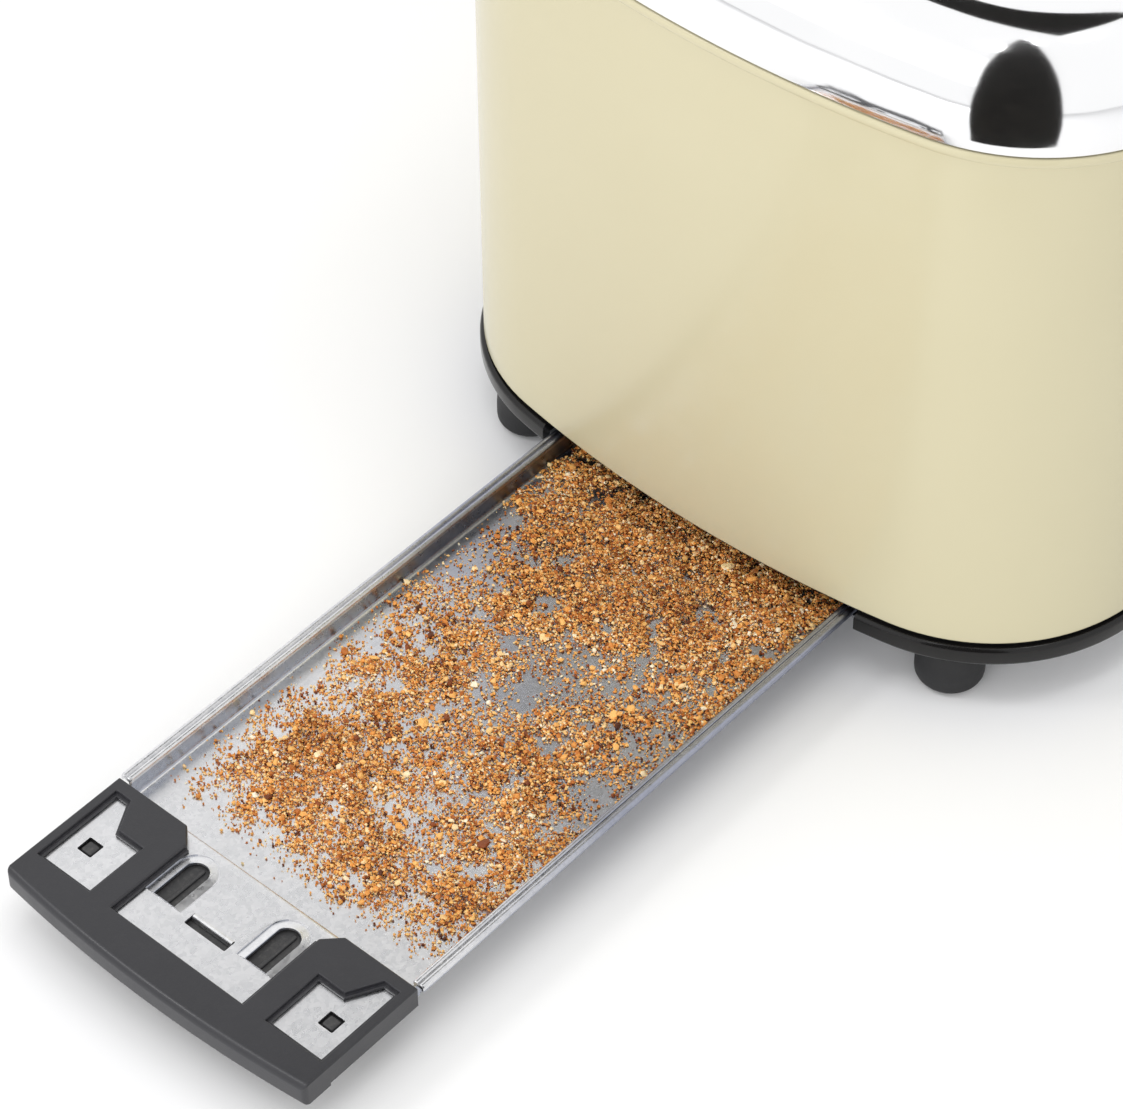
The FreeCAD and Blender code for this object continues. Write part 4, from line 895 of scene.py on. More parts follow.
def makeTrayBody():
    look = traySlide
    meshes = []
    rampEnd = handleBack + look["ramp"]
    steps = look["steps"]
    for side in (-1, 1):
        section = sideSection(side)
        stops = [rampEnd + (trayHigh.x - rampEnd) * step / steps for step in range(steps + 1)]
        meshes.append(loftMesh([[(x, y, z) for y, z in section] for x in stops], False, True))
        rimOnly = [p for p in section if abs(p[0]) > trayInner - look["sheet"] - 0.01 * mm]
        middleY = side * (trayInner + look["half"]) / 2
        middleZ = look["rimTop"] - 1.0 * mm
        nose = []
        for x, pull in ((trayFront, 0.30), (trayFront + 0.12 * mm, 0.12), (trayFront + 0.35 * mm, 0.0),
                        (rampEnd, 0.0)):
            nose.append([(x, y + (middleY - y) * pull * 0.4, z + (middleZ - z) * pull * 0.3)
                         for y, z in rimOnly])
        meshes.append(loftMesh(nose, False, True))
    # the front of the floor: bends, ramp and flange edge as one strip across the tray
    line = []
    flange, floor = look["flangeTop"], look["floor"]
    line += [(handleBack - 2.2 * mm, flange), (handleBack - 1.0 * mm, flange - 0.02 * mm)]
    line += [(handleBack - 0.35 * mm, flange - 0.12 * mm), (handleBack + 0.1 * mm, flange - 0.42 * mm)]
    line += [(handleBack + 0.35 * mm, flange - 0.9 * mm), (rampEnd - 0.85 * mm, floor + 0.9 * mm)]
    line += [(rampEnd - 0.6 * mm, floor + 0.45 * mm), (rampEnd - 0.2 * mm, floor + 0.12 * mm)]
    line += [(rampEnd + 0.25 * mm, floor - 0.03 * mm), (rampEnd + 0.7 * mm, floor - 0.09 * mm)]
    under = [(x - 0.2 * mm, z - look["sheet"]) for x, z in reversed(line)]
    half = trayInner - look["sheet"] * 0.3
    strips = []
    for step in range(steps + 1):
        y = -half + 2 * half * step / steps
        strips.append([(x, y, z) for x, z in line + under])
    meshes.append(loftMesh(strips, False, True))
    wall = boxMesh((trayHigh.x - look["sheet"], -trayInner, floor - look["sheet"]),
                   (trayHigh.x, trayInner, look["rimTop"] - 0.4 * mm))
    meshes.append(roundEdges(wall, 0.25 * mm, 2))
    return meshes


windowShape = {"reach": 17.6 * mm, "y": 13.9 * mm, "hole": 3.1 * mm, "band": 2.1 * mm, "drop": 0.42 * mm,
               "straight": 7.7 * mm, "round": 5.1 * mm, "patch": 0.35 * mm, "steps": 24}


def dLoop(side, grow, flat, z):  # a D outline: straight towards the bar, round towards the tray
    look = windowShape
    x = barBack + look["reach"]
    y = side * look["y"]
    half = look["hole"] + grow
    straightX = x - look["straight"] - flat
    arcX = x + look["round"] - look["hole"]
    points = []
    for step in range(9):
        points.append((straightX + (arcX - straightX) * step / 8, y - half, z))
    for step in range(1, look["steps"]):
        turn = -math.pi / 2 + math.pi * step / look["steps"]
        points.append((arcX + half * math.cos(turn), y + half * math.sin(turn), z))
    for step in range(9):
        points.append((arcX + (straightX - arcX) * step / 8, y + half, z))
    for step in range(1, 6):
        points.append((straightX, y + half - 2 * half * step / 6, z))
    return points


def makeWindowBand(side):  # a crease and a band that rises towards the hole, round each D window
    look = windowShape
    top = traySlide["flangeTop"]
    sheet = traySlide["sheet"]
    band, drop, patch = look["band"], look["drop"], look["patch"]
    steps = [(band + patch, 0.30 * mm, 0.0), (band + 0.22 * mm, 0.26 * mm, 0.0)]
    steps += [(band + 0.12 * mm, 0.24 * mm, -0.30 * mm), (band - 0.10 * mm, 0.22 * mm, -0.32 * mm)]
    for share in (0.75, 0.5, 0.25):
        steps.append((band * share, 0.2 * mm * share, -0.32 * mm + 0.40 * mm * (1 - share)))
    steps += [(0.12 * mm, 0.03 * mm, 0.09 * mm), (0.0, 0.0, -0.05 * mm), (0.0, 0.0, -drop - 0.30 * mm)]
    loops = [dLoop(side, grow, flat, top + z) for grow, flat, z in steps]
    back = [(0.3 * mm, 0.1 * mm, -drop - sheet * 0.8), (band * 0.7, 0.2 * mm, -sheet - 0.3 * mm),
            (band + patch, 0.30 * mm, -sheet)]
    loops += [dLoop(side, grow, flat, top + z) for grow, flat, z in back]
    return loftMesh(loops, True)


def pegPlace(side):
    return barBack + 9.7 * mm, side * (handleHigh.y - 8.7 * mm)


def makeFlange():
    look = traySlide
    win = windowShape
    outer = [(trayLow.x, -trayInner), (handleBack - 2.0 * mm, -trayInner),
             (handleBack - 2.0 * mm, trayInner), (trayLow.x, trayInner)]
    outlines = [outer]
    for side in (-1, 1):
        x, y = pegPlace(side)
        hole = look["pegHole"]
        outlines.append(roundedBox(x - hole, x + hole, y - hole, y + hole, 0.3 * mm, 3))
        window = dLoop(side, win["band"] + win["patch"] - 0.02 * mm, 0.29 * mm, 0)
        outlines.append([(x, y) for x, y, z in window])
    lockX = barBack + look["lock"]
    outlines.append(roundedBox(lockX - look["lockHalfX"], lockX + look["lockHalfX"], -look["lockHalfY"],
                               look["lockHalfY"], 0.3 * mm, 3))
    top = look["flangeTop"]
    meshes = [plateMesh(outlines, top - look["sheet"], top, 0.08 * mm, 1)]
    meshes += [makeWindowBand(side) for side in (-1, 1)]
    # the bent tab along the tray side of the lock slot
    tab = []
    for x, z in ((1.75, 0.0), (1.2, 0.22), (0.75, 0.10), (0.45, -0.35), (0.40, -1.1), (0.95, -1.15),
                 (1.0, -0.6), (1.75, -0.5)):
        tab.append((lockX + x * mm, top + z * mm))
    meshes.append(loftMesh([[(x, y * mm, z) for x, z in tab] for y in (-5.9, -2, 2, 5.9)], False, True))
    return meshes


trayMesh = joinMeshes("crumbTray", makeTrayBody() + makeFlange())
evenShading(newPiece("crumbTray", trayMesh, traySteel, "crumb_tray", "tray_steel", "tray_pan"))


# Tray handle: bowed bar, two legs with stepped windows, and the plate below the flange

handleShape = {"bow": 375 * mm, "legInner": 20 * mm, "chamfer": 4 * mm, "front": 1.7 * mm, "edge": 0.45 * mm,
               "planCorner": 1.2 * mm, "rim": 0.28 * mm, "lip": 0.8 * mm, "lipDrop": 1.1 * mm,
               "wall": 2.3 * mm, "ledge": 0.75 * mm, "ledgeDrop": 0.95 * mm, "bowSteps": 40,
               "rib": 6.6 * mm, "seat": 16.62 * mm, "peg": 1.6 * mm, "pegTop": 16.35 * mm,
               "tongueLow": 13.0 * mm, "ribTop": 15.75 * mm}


def windowOutline(side, inset=0.0):
    look = handleShape
    outer = handleHigh.y - look["wall"] - inset
    inner = look["legInner"] + look["rib"] + inset
    step = handleBack - 11 * mm - inset
    deep = handleBack - 3.2 * mm - inset
    stepY = handleHigh.y - 11 * mm + inset * 0.5
    deepY = handleHigh.y - 6.8 * mm + inset * 0.7
    points = [(barBack + inset, inner), (step, inner), (step, stepY), (deep, deepY), (deep, outer),
              (barBack + inset, outer)]
    return [(x, side * y) for x, y in points]


def makeHandle():
    look = handleShape
    half = handleHigh.y
    drop = look["bow"] - math.sqrt(look["bow"] ** 2 - half ** 2)
    centre = handleLow.x + look["bow"]
    sweep = math.degrees(math.asin(half / look["bow"]))
    front = arcPoints((centre, 0), look["bow"], 180 - sweep, 180 + sweep, look["bowSteps"])
    inner, chamfer = look["legInner"], look["chamfer"]
    outline = front + [(handleBack, -half), (handleBack, -inner - chamfer), (handleBack - chamfer, -inner),
                       (barBack, -inner), (barBack, inner), (handleBack - chamfer, inner),
                       (handleBack, inner + chamfer), (handleBack, half)]
    top, low = handleHigh.z, handleLow.z
    mesh = prismMesh(outline, low, top)
    work = bmesh.new()
    work.from_mesh(mesh)
    weights = work.edges.layers.float.new("bevel_weight_edge")
    for line in work.edges:
        a, b = line.verts
        if line.calc_face_angle(0.0) < 0.3:
            continue
        atFront = max(a.co.x, b.co.x) < handleLow.x + drop + 0.2 * mm
        if abs(a.co.z - b.co.z) > 0.01 * mm:
            line[weights] = look["planCorner"] / look["front"] if atFront else 0.15
        else:
            line[weights] = 1.0 if atFront else look["edge"] / look["front"]
    work.to_mesh(mesh)
    work.free()
    mesh = roundEdges(mesh, look["front"], 5, weighted=True)
    slotHalf = trayInner + 0.4 * mm
    slotLow = traySlide["flangeTop"] - traySlide["sheet"] - 0.1 * mm
    slotHigh = traySlide["flangeTop"] + 0.1 * mm
    cutters = [boxMesh((barBack - 4.9 * mm, -slotHalf, slotLow), (handleBack + 5 * mm, slotHalf, slotHigh)),
               boxMesh((barBack + 0.1 * mm, -half - 1 * mm, low - 1 * mm),
                       (handleBack + 5 * mm, half + 1 * mm, 12.5 * mm))]
    cutters += [prismMesh(windowOutline(side), low - 2 * mm, top + 2 * mm) for side in (-1, 1)]
    mesh = cutAway(mesh, cutters)
    work = bmesh.new()
    work.from_mesh(mesh)
    rims = [line for line in work.edges
            if min(v.co.z for v in line.verts) > top - 0.01 * mm and line.calc_face_angle(0.0) > 0.6]
    bmesh.ops.bevel(work, geom=rims, offset=look["rim"], segments=2, profile=0.5, affect="EDGES",
                    clamp_overlap=False)
    work.to_mesh(mesh)
    work.free()
    tidyMesh(mesh)
    meshes = [mesh]
    seat = look["seat"]
    for side in (-1, 1):
        rings = [windowOutline(side, -0.05 * mm), windowOutline(side, look["ledge"])]
        meshes.append(plateMesh(rings, seat, top - look["ledgeDrop"], 0.1 * mm, 1))
        low, high = sorted((side * (inner - look["lip"]), side * (inner + 0.5 * mm)))
        lip = roundedBox(barBack - 0.5 * mm, handleBack - chamfer - 0.3 * mm, low, high, 0.2 * mm, 3)
        meshes.append(plateMesh([lip], seat, top - look["lipDrop"], 0.15 * mm, 2))
    mesh = joinMeshes("trayHandle", meshes)
    evenShading(newPiece("trayHandle", mesh, handlePlastic, "crumb_tray", "handle_plastic", "tray_handle"))


makeHandle()


def makeHandleUnder():  # the tongue plate under the flange, with the pegs and ribs that lock into it
    look = handleShape
    half = trayInner - 0.5 * mm
    top = traySlide["flangeTop"] - traySlide["sheet"] - 0.3 * mm
    slab = plateMesh([roundedBox(barBack + 0.3 * mm, handleBack - 1.2 * mm, -half, half, 2 * mm, 6)],
                     look["tongueLow"], top - 0.5 * mm, 0.4 * mm, 2)
    meshes = [slab]
    for side in (-1, 1):
        x, y = pegPlace(side)
        wide = look["peg"]
        peg = boxMesh((x - wide, y - wide, top - 1 * mm), (x + wide, y + wide, look["pegTop"]))
        meshes.append(roundEdges(peg, 0.55 * mm, 3))
        x = barBack + windowShape["reach"]
        y = side * windowShape["y"]
        rib = roundedBox(x - 8.6 * mm, x + 4.4 * mm, y - 0.9 * mm, y + 0.1 * mm, 0.4 * mm, 4)
        meshes.append(plateMesh([rib], top - 1 * mm, look["ribTop"], 0.35 * mm, 3))
    mesh = joinMeshes("handleTongues", meshes)
    evenShading(newPiece("handleTongues", mesh, darkMould, "crumb_tray", "handle_plastic"))


makeHandleUnder()
print("tray and handle made")


# Crumbs: seeded grains whose density follows listed drifts, in distances from the handle and the middle

crumbSettings = {"seed": 7, "fine": 24500, "coarse": 2600, "flakes": 60, "base": 0.13, "patch": 70.0,
                 "clearLane": 8.5 * mm, "topLimit": 17.4 * mm, "cell": 0.5 * mm}
crumbDrifts = [  # distance from the ramp, distance left of the middle, spread, weight, in millimetres
    (24, 24, 9, 0.75), (38, 22, 9, 0.85), (28, 6, 10, 0.9), (16, -10, 8, 0.8), (26, -34, 9, 1.0),
    (46, -34, 9, 0.85), (52, -14, 9, 0.6), (68, -18, 8, 0.85), (80, -26, 7, 0.55), (58, 12, 10, 0.5),
    (72, 20, 9, 0.5), (88, 20, 11, 0.45), (86, 40, 4, 0.9), (62, 36, 7, 0.35), (110, 10, 10, 0.8),
    (126, 6, 13, 0.9), (136, -8, 13, 0.9), (116, -12, 10, 0.7), (134, 28, 9, 0.8), (134, -36, 11, 0.9),
    (112, -38, 9, 0.6), (96, -34, 8, 0.4), (150, 0, 26, 0.9), (190, 0, 30, 0.4)]


def crumbDensity(x, y):  # metres from the ramp, metres left of the middle
    total = crumbSettings["base"]
    for along, across, spread, weight in crumbDrifts:
        far = ((x / mm - along) ** 2 + (y / mm - across) ** 2) / (2 * spread ** 2)
        if far < 9:
            total += weight * math.exp(-far)
    ruffle = noise.noise(Vector((x * crumbSettings["patch"] * 2, y * crumbSettings["patch"] * 2, 3.1)))
    ruffle += 0.7 * noise.noise(Vector((x * 420, y * 420, 8.4)))
    total *= max(0.05, 1.0 + 1.3 * ruffle)
    if x < 9 * mm:
        total *= max(0.05, x / (9 * mm)) ** 2
    edge = trayInner - abs(y) - 0.6 * mm
    if edge < 0:
        return 0.0
    if y > 0 and x < 118 * mm:
        total *= min(1.0, 0.05 + edge / crumbSettings["clearLane"])
    return total


def grainTemplate(subdivisions):
    if subdivisions == 0:
        points = [(1, 0, 0), (-1, 0, 0), (0, 1, 0), (0, -1, 0), (0, 0, 1), (0, 0, -1)]
        faces = [(0, 2, 4), (2, 1, 4), (1, 3, 4), (3, 0, 4), (2, 0, 5), (1, 2, 5), (3, 1, 5), (0, 3, 5)]
        return np.array(points, dtype=float), np.array(faces)
    work = bmesh.new()
    bmesh.ops.create_icosphere(work, subdivisions=subdivisions, radius=1)
    points = np.array([v.co[:] for v in work.verts])
    faces = np.array([[v.index for v in f.verts] for f in work.faces])
    work.free()
    return points, faces


crumbStart = handleBack + traySlide["ramp"] + 0.8 * mm
crumbSpan = trayHigh.x - crumbStart - 3 * mm


def mapDensity():  # the drifts on a fine grid, so that each grain only looks its place up
    cell = crumbSettings["cell"]
    rows = int(crumbSpan / cell) + 2
    columns = int(2 * trayInner / cell) + 2
    return np.array([[crumbDensity(row * cell, column * cell - trayInner) for column in range(columns)]
                     for row in range(rows)])


def scatterCrumbs(name, count, subdivisions, smallest, largest, flatness, jag, strictness, dice, density):
    template, triangles = grainTemplate(subdivisions)
    cell = crumbSettings["cell"]
    drawn = count * 40
    x = dice.random(drawn) * crumbSpan
    y = (dice.random(drawn) * 2 - 1) * (trayInner - 1.0 * mm)
    local = density[(x / cell).astype(int), ((y + trayInner) / cell).astype(int)]
    kept = np.flatnonzero(dice.random(drawn) * 1.35 < local ** strictness)[:count]
    x, y, local = x[kept], y[kept], local[kept]
    made = len(kept)
    size = smallest * (largest / smallest) ** (dice.random(made) ** 1.7)
    shape = np.stack([dice.uniform(0.7, 1.3, made), dice.uniform(0.7, 1.3, made),
                      dice.uniform(*flatness, made)], axis=1) * size[:, None] / 2
    points = template[None] * (1 + dice.uniform(-jag, jag, (made, len(template), 1))) * shape[:, None, :]
    spin = dice.uniform(0, 2 * math.pi, (made, 1))
    lean = dice.uniform(-0.6, 0.6, (made, 1))
    across = points[..., 1] * np.cos(lean) - points[..., 2] * np.sin(lean)
    tall = points[..., 1] * np.sin(lean) + points[..., 2] * np.cos(lean)
    along = points[..., 0] * np.cos(spin) - across * np.sin(spin)
    across = points[..., 0] * np.sin(spin) + across * np.cos(spin)
    pile = np.maximum(0.0, local - 0.7) * dice.random(made) * 1.6 * mm
    lift = traySlide["floor"] - tall.min(axis=1) * 0.82 + pile
    points = np.stack([along + (crumbStart + x)[:, None], across + y[:, None], tall + lift[:, None]], axis=2)
    points = points[points[..., 2].max(axis=1) < crumbSettings["topLimit"]]
    faces = triangles[None] + (np.arange(len(points)) * len(template))[:, None, None]
    mesh = bpy.data.meshes.new(name)
    mesh.from_pydata(points.reshape(-1, 3).tolist(), [], faces.reshape(-1, 3).tolist())
    mesh.polygons.foreach_set("use_smooth", [False] * len(mesh.polygons))
    newPiece(name, mesh, toastCrumb, "crumb_tray", None)


print("finding crumbs")
crumbDice = np.random.default_rng(crumbSettings["seed"])
crumbMap = mapDensity()
crumbKinds = [("crumbsFine" + layer, crumbSettings["fine"], 0, 0.32 * mm, 0.95 * mm, (0.6, 1.2), 0.35, 1.25)
              for layer in "ABCD"]  # name, count, template, smallest, largest, flatness, jag, strictness
crumbKinds.append(("crumbsCoarse", crumbSettings["coarse"], 1, 0.8 * mm, 1.7 * mm, (0.4, 0.9), 0.32, 1.7))
crumbKinds.append(("crumbFlakes", crumbSettings["flakes"], 2, 1.5 * mm, 2.9 * mm, (0.25, 0.5), 0.25, 1.1))
for kind in crumbKinds:
    scatterCrumbs(*kind, crumbDice, crumbMap)
print("crumbs scattered")


# Control panel on the lever end, bowed like the shell, with its bezel, dial, lever knob and buttons

def bowSheet(outlines, low, high, radius=0.0, cuts=26):  # a plate drawn in Y and Z, bent to the bowed end
    mesh = plateMesh(outlines, low, high, radius, 3)
    work = bmesh.new()
    work.from_mesh(mesh)
    reach = max(abs(v.co.x) for v in work.verts)
    for step in range(1, cuts):
        place = -reach + 2 * reach * step / cuts
        parts = work.verts[:] + work.edges[:] + work.faces[:]
        bmesh.ops.bisect_plane(work, geom=parts, plane_co=(place, 0, 0), plane_no=(1, 0, 0))
    for vert in work.verts:
        y, z, depth = vert.co
        vert.co = (endX(y) + depth, y, z)
    work.to_mesh(mesh)
    work.free()
    tidyMesh(mesh, 40.0)
    return mesh


leverLow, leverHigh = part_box("lever_knob")
bezelLow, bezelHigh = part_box("lever_bezel")
dialLow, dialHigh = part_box("browning_knob")
controlShape = {"proud": 1.4 * mm, "back": -2.2 * mm, "edge": 0.5 * mm, "slotHalf": 3.5 * mm,
                "bezelWidth": 2.5 * mm, "bezelProud": 0.9 * mm, "buttonGap": 0.4 * mm,
                "dialHole": 3.6 * mm, "tickReach": 17.4 * mm, "pillY": 6.5 * mm, "pillZ": 5.0 * mm,
                "flutes": 24, "fluteDepth": 0.5 * mm, "dialBore": 3.2 * mm, "knobCorner": 6 * mm}
buttonNames = ("cancel_button", "reheat_button", "defrost_button")


def leverSlot(grow):
    low = bezelLow.z + controlShape["bezelWidth"] - grow
    high = bezelHigh.z - controlShape["bezelWidth"] + grow
    half = controlShape["slotHalf"] + grow
    return roundedBox(-half, half, low, high, half - 0.02 * mm, 10)


def pill(name, grow):
    low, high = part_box(name)
    middleY, middleZ = (low.y + high.y) / 2, (low.z + high.z) / 2
    halfY, halfZ = controlShape["pillY"] + grow, controlShape["pillZ"] + grow
    return roundedBox(middleY - halfY, middleY + halfY, middleZ - halfZ, middleZ + halfZ,
                      halfZ - 0.5 * mm, 8)


def makePanel():
    look = controlShape
    zone = panelZone
    dialZ = (dialLow.z + dialHigh.z) / 2
    face = roundedBox(-zone["half"], zone["half"], zone["low"], zone["high"], zone["corner"], 10)
    holes = [leverSlot(0.0)] + [pill(name, look["buttonGap"]) for name in buttonNames]
    holes.append(arcPoints((0, dialZ), look["dialHole"], 0, 345, 23))
    meshes = [bowSheet([face] + holes, look["back"] + 0.9 * mm, look["proud"], look["edge"])]
    rim = roundedBox(-zone["half"] - 1.9 * mm, zone["half"] + 1.9 * mm, shellLow.z + 0.9 * mm,
                     shellHigh.z - 0.9 * mm, zone["corner"], 8)
    inner = roundedBox(-zone["half"] + 3 * mm, zone["half"] - 3 * mm, zone["low"] + 3 * mm,
                       zone["high"] - 3 * mm, zone["corner"] - 3 * mm, 8)
    meshes.append(bowSheet([rim, inner], look["back"], -shellShape["sheet"] - 0.3 * mm, 0.2 * mm))
    ticks = []
    reach = look["tickReach"]
    for step in range(7):  # raised marks round the dial, longest at the dark end
        angle = math.radians(225 - step * 45)
        long = (1.2 + 0.35 * step) * mm
        along = Vector((math.cos(angle), math.sin(angle)))
        aside = Vector((-along.y, along.x)) * 0.45 * mm
        middle = Vector((0, dialZ))
        corners = [middle + along * reach - aside, middle + along * (reach + long) - aside,
                   middle + along * (reach + long) + aside, middle + along * reach + aside]
        ticks.append([(c.x, c.y) for c in corners])
    tickMeshes = [bowSheet([tick], look["proud"] - 0.1 * mm, look["proud"] + 0.15 * mm, 0.06 * mm, 2)
                  for tick in ticks]
    newPiece("controlPanel", joinMeshes("controlPanel", meshes), glossBlack, "housing", "gloss_black",
             "control_panel")
    newPiece("dialMarks", joinMeshes("dialMarks", tickMeshes), guardSteel, "housing", "gloss_black")
    ring = bowSheet([leverSlot(look["bezelWidth"]), leverSlot(0.02 * mm)], look["proud"] + 0.02 * mm,
                    look["proud"] + look["bezelProud"], 0.4 * mm)
    newPiece("leverBezel", ring, chromePlate, "housing", "chrome", "lever_bezel")


def makeLeverKnob():
    low, high = leverLow, leverHigh
    outline = roundedBox(low.y, high.y, low.z, high.z, controlShape["knobCorner"], 12)
    middleZ = (low.z + high.z) / 2
    loops = []
    depths = [(0.0, 0.8), (0.25, 0.25), (0.8, 0.0)]
    length = (high.x - low.x) / mm
    for step in range(1, 8):
        depths.append((0.8 + (length - 3.8) * step / 7, 0.15 * math.sin(math.pi * step / 7)))
    for angle in range(15, 91, 15):
        turn = math.radians(angle)
        depths.append((length - 3 + 3 * math.sin(turn), 3 * (1 - math.cos(turn))))
    for inset, sink in ((4.2, 0.05), (5.2, 0.28), (6.3, 0.42)):
        depths.append((length - sink, inset))
    for depth, inset in depths:
        scaleY = 1 - inset * mm / (high.y - low.y) * 2
        scaleZ = 1 - inset * mm / (high.z - low.z) * 2
        loops.append([(low.x + depth * mm, y * scaleY, middleZ + (z - middleZ) * scaleZ)
                      for y, z in outline])
    mesh = loftMesh(loops, False, True)
    newPiece("leverKnob", mesh, chromePlate, "carriage", "chrome", "lever_knob")


def makeDial():
    look = controlShape
    low, high = dialLow.x, dialHigh.x
    radius = (dialHigh.y - dialLow.y) / 2
    centre = (0, (dialLow.y + dialHigh.y) / 2, (dialLow.z + dialHigh.z) / 2)
    profile = [(look["dialBore"], low + 3 * mm), (look["dialBore"], low), (radius - 0.5 * mm, low)]
    profile += [(radius, low + 0.5 * mm), (radius, low + 1.6 * mm), (radius - 0.35 * mm, low + 2.0 * mm)]
    for step in range(9):
        share = step / 8
        profile.append((radius - 0.4 * mm - 0.75 * mm * share,
                        low + 2.2 * mm + (high - low - 4.0 * mm) * share))
    profile += arcPoints((radius - 2.65 * mm, high - 1.5 * mm), 1.5 * mm, 15, 90, 5)
    profile += [(radius - 4.2 * mm, high - 0.05 * mm), (radius - 5 * mm, high - 0.6 * mm)]
    profile.append((0.01 * mm, high - 0.75 * mm))
    mesh = latheMesh(profile, centre, "X", 192)
    work = bmesh.new()
    work.from_mesh(mesh)
    for vert in work.verts:
        y, z = vert.co.y - centre[1], vert.co.z - centre[2]
        out = math.hypot(y, z)
        if out > radius - 1.5 * mm and low + 2.1 * mm < vert.co.x < high - 1.0 * mm:
            flute = look["fluteDepth"] * max(0.0, math.cos(look["flutes"] * math.atan2(z, y))) ** 3
            vert.co.y -= y / out * flute
            vert.co.z -= z / out * flute
    work.to_mesh(mesh)
    work.free()
    pointer = roundEdges(boxMesh((high - 1.2 * mm, -0.7 * mm, centre[2] + 4.5 * mm),
                                 (high - 0.1 * mm, 0.7 * mm, centre[2] + radius - 4.6 * mm)), 0.3 * mm, 2)
    mesh = joinMeshes("browningDial", [mesh])
    newPiece("browningDial", mesh, chromePlate, "browning_dial", "chrome", "browning_knob")
    newPiece("dialPointer", pointer, glossBlack, "browning_dial", "gloss_black")


def makeButton(name):
    look = controlShape
    low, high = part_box(name)
    outline = pill(name, 0.0)
    middleY = sum(y for y, z in outline) / len(outline)
    middleZ = sum(z for y, z in outline) / len(outline)
    loops = []
    back = endX(middleY + look["pillY"], look["back"]) - 0.8 * mm
    depths = [(back, 0.0), (high.x - 1.0 * mm, 0.0)]
    for angle in range(18, 91, 18):
        turn = math.radians(angle)
        depths.append((high.x - 1.0 * mm + 1.0 * mm * math.sin(turn), 1.0 * mm * (1 - math.cos(turn))))
    depths += [(high.x - 0.08 * mm, 1.7 * mm), (high.x - 0.3 * mm, 2.6 * mm), (high.x - 0.42 * mm, 3.6 * mm)]
    for depth, inset in depths:
        scaleY, scaleZ = 1 - inset / look["pillY"], 1 - inset / look["pillZ"]
        loops.append([(depth, middleY + (y - middleY) * scaleY, middleZ + (z - middleZ) * scaleZ)
                      for y, z in outline])
    meshes = [loftMesh(loops, False, True)]
    stem = [(0.01 * mm, low.x), (1.7 * mm, low.x), (2.0 * mm, low.x + 0.3 * mm), (2.0 * mm, back + 0.2 * mm)]
    meshes.append(latheMesh(stem, (0, middleY, middleZ), "X", 28))
    collar = plateMesh([pill(name, 1.5 * mm)], back - 1.4 * mm, back - 0.1 * mm, 0.2 * mm, 2)
    collar.transform(towardsX)
    meshes.append(collar)
    pieceName = name.split("_")[0] + "Button"
    newPiece(pieceName, joinMeshes(name, meshes), glossBlack, name, "gloss_black", name)


makePanel()
makeLeverKnob()
makeDial()
for buttonName in buttonNames:
    makeButton(buttonName)
print("controls made")


# Carried-over CAD pieces get the shop finishes

finishes = [
    (zincPlate, ("bottom_plate", "front_plate", "rear_plate", "top_deck", "heat_shield_left",
                 "heat_shield_right", "carriage_bracket", "lifter_left", "lifter_right", "armature",
                 "magnet_core", "pot_shaft")),
    (guardSteel, ("guard_outer_left", "guard_outer_right", "guard_inner_left", "guard_inner_right",
                  "guide_rod", "carriage_spring")),
    (micaSheet, ("mica_outer_left", "mica_outer_right", "mica_inner_left", "mica_inner_right")),
    (ribbonSteel, ("winding_outer_left", "winding_outer_right", "winding_inner_left",
                   "winding_inner_right")),
    (bushBrass, ("carriage_bush",)),
    (windingCopper, ("magnet_coil",)),
    (boardLacquer, ("circuit_board",)),
    (darkMould, ("board_parts", "tact_switches", "switch_block", "potentiometer", "terminal_block",
                 "cord_bush")),
    (wireSleeve, ("mains_wires",)),
    (screwZinc, ("base_screws", "chassis_screws", "deck_screws", "board_screws"))]
for finish, names in finishes:
    for name in names:
        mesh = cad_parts[name].data
        if not mesh.materials:
            mesh.materials.append(finish)
        for index in range(len(mesh.materials)):
            mesh.materials[index] = finish
print("CAD pieces finished")


# Studio: pale floor, soft lights, and the camera above the handle's right corner

studio = {"world": 0.71, "gleam": 0.34, "floorTone": 0.93, "floorHalf": 3.0}
cameraSettings = {"azimuth": -48.347, "elevation": 45.782, "roll": -0.463, "distance": 0.96445,
                  "lookX": -0.15785, "lookY": 0.02843, "lens": 128.23}
softLights = [  # shape, place, what it faces, width and height in metres, watts, seen in reflections
    ("RECTANGLE", (-1.4, 0.1, 1.15), (-0.1, 0.0, 0.08), 1.3, 1.0, 1.0, True),
    ("RECTANGLE", (-0.1, -0.1, 2.0), (-0.10, 0.0, 0.0), 1.6, 1.4, 9.5, False),
    ("RECTANGLE", (0.5, 1.5, 1.2), (0.0, 0.0, 0.1), 1.4, 1.0, 0.8, True),
    ("RECTANGLE", (-1.5, -0.35, 0.45), (-0.05, 0.0, 0.05), 0.9, 0.6, 8.0, False),
    ("ELLIPSE", (-0.91, 0.78, 1.38), (-0.30, 0.0, 0.0), 0.36, 0.36, 3.2, True),
    ("ELLIPSE", (-0.35, -0.25, 2.0), (-0.1, 0.0, 0.1), 0.22, 0.22, 0.5, True),
    ("ELLIPSE", (0.15, -0.45, 1.9), (-0.1, 0.0, 0.1), 0.30, 0.22, 0.7, True),
    ("ELLIPSE", (-0.75, -0.1, 1.8), (-0.1, 0.0, 0.1), 0.22, 0.30, 0.6, True)]
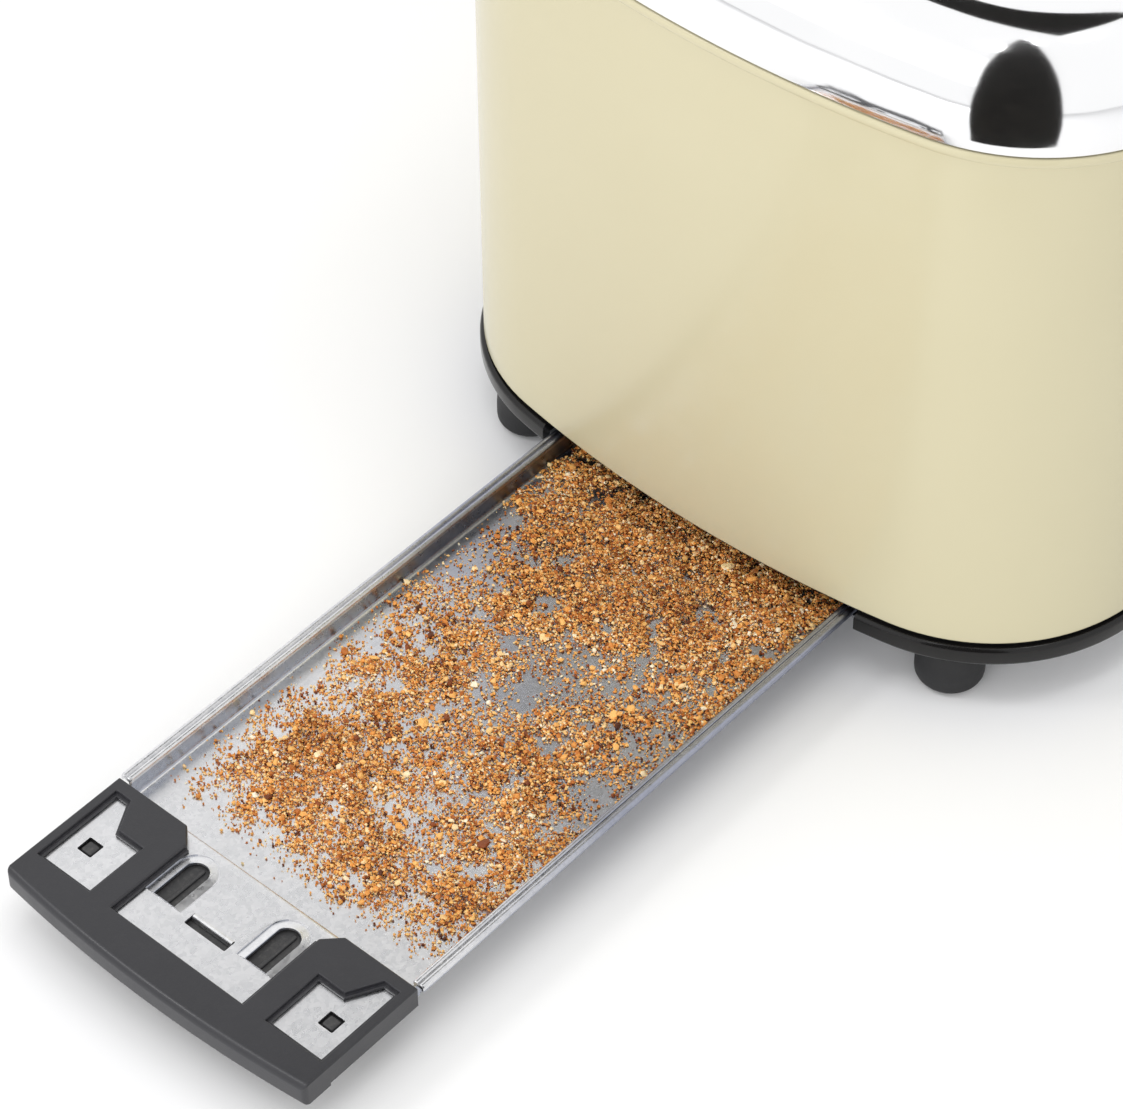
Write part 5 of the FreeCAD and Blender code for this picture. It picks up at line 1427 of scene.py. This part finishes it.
darkCards = [  # black cards that only polished faces see: corners in metres
    ("darkStand", ((-0.325, -0.100, 0.0), (-0.250, -0.245, 0.0), (-0.262, -0.222, 2.10),
                   (-0.315, -0.120, 2.10))),
    ("darkCeiling", ((0.08, -0.28, 2.15), (1.02, -0.28, 2.15), (1.02, 0.98, 2.15), (0.08, 0.98, 2.15)))]


def makeDarkCards():
    material, tree, shader = startMaterial("flagCloth", Roughness=0.9, Specular_IOR_Level=0.1)
    place = objectPlace(tree)
    nap = mixColours(tree, noiseNode(tree, place, 30.0), (0.012, 0.012, 0.012, 1), (0.03, 0.028, 0.026, 1))
    feed(tree, shader.inputs["Base Color"], nap)
    for name, corners in darkCards:
        card = newPiece(name, meshFrom(name, corners, [(0, 1, 2, 3)]), material, None, None)
        card.visible_camera = False
        card.visible_diffuse = False
        card.visible_shadow = False
        card.visible_transmission = False


def makeFloor():
    half = studio["floorHalf"]
    mesh = meshFrom("paleFloor", [(-half, -half, 0), (half, -half, 0), (half, half, 0), (-half, half, 0)],
                    [(0, 1, 2, 3)])
    material, tree, shader = startMaterial("paleFloor", Roughness=0.75, Specular_IOR_Level=0.1)
    place = objectPlace(tree)
    tone = studio["floorTone"]
    soft = mixColours(tree, noiseNode(tree, place, 6.0), (tone, tone, tone, 1),
                      (tone * 0.99, tone * 0.99, tone, 1))
    feed(tree, shader.inputs["Base Color"], soft)
    floor = newPiece("paleFloor", mesh, material, None, None)


def aimAt(place, target):
    return (Vector(target) - Vector(place)).to_track_quat("-Z", "Y")


def makeLights():
    for number, (shape, place, target, wide, tall, watts, mirrored) in enumerate(softLights, 1):
        light = bpy.data.lights.new("softLight" + str(number), "AREA")
        light.shape = shape
        light.size, light.size_y = wide, tall
        light.energy = watts
        lamp = bpy.data.objects.new("softLight" + str(number), light)
        bpy.context.scene.collection.objects.link(lamp)
        lamp.location = place
        lamp.visible_glossy = mirrored
        lamp.rotation_mode = "QUATERNION"
        lamp.rotation_quaternion = aimAt(place, target)
    world = bpy.data.worlds.new("studioAir")
    world.use_nodes = True
    background = world.node_tree.nodes["Background"]
    background.inputs["Color"].default_value = (1.0, 1.0, 1.0, 1)
    air = world.node_tree  # polished faces see slightly brighter air than matt ones
    glossy = addNode(air, "ShaderNodeLightPath").outputs["Is Glossy Ray"]
    lifted = mathNode(air, "MULTIPLY", glossy, studio["gleam"])
    feed(air, background.inputs["Strength"], mathNode(air, "ADD", lifted, studio["world"]))
    bpy.context.scene.world = world


def makeCamera():
    look = cameraSettings
    turn, rise, roll = (math.radians(look[k]) for k in ("azimuth", "elevation", "roll"))
    back = Vector((math.sin(turn) * math.cos(rise), -math.cos(turn) * math.cos(rise), math.sin(rise)))
    right = Vector((math.cos(turn), math.sin(turn), 0))
    up = back.cross(right)
    rolled = right * math.cos(roll) + up * math.sin(roll)
    top = up * math.cos(roll) - right * math.sin(roll)
    camera = bpy.data.objects.new("camera", bpy.data.cameras.new("camera"))
    bpy.context.scene.collection.objects.link(camera)
    place = Vector((look["lookX"], look["lookY"], 0)) + back * look["distance"]
    camera.matrix_world = Matrix((
        (rolled.x, top.x, back.x, place.x),
        (rolled.y, top.y, back.y, place.y),
        (rolled.z, top.z, back.z, place.z),
        (0, 0, 0, 1)))
    camera.data.lens = look["lens"]
    camera.data.sensor_width = 36.0
    camera.data.clip_start = 0.05
    bpy.context.scene.camera = camera


makeFloor()
makeDarkCards()
makeLights()
makeCamera()
bpy.context.scene.view_settings.view_transform = "Standard"
print("studio ready")
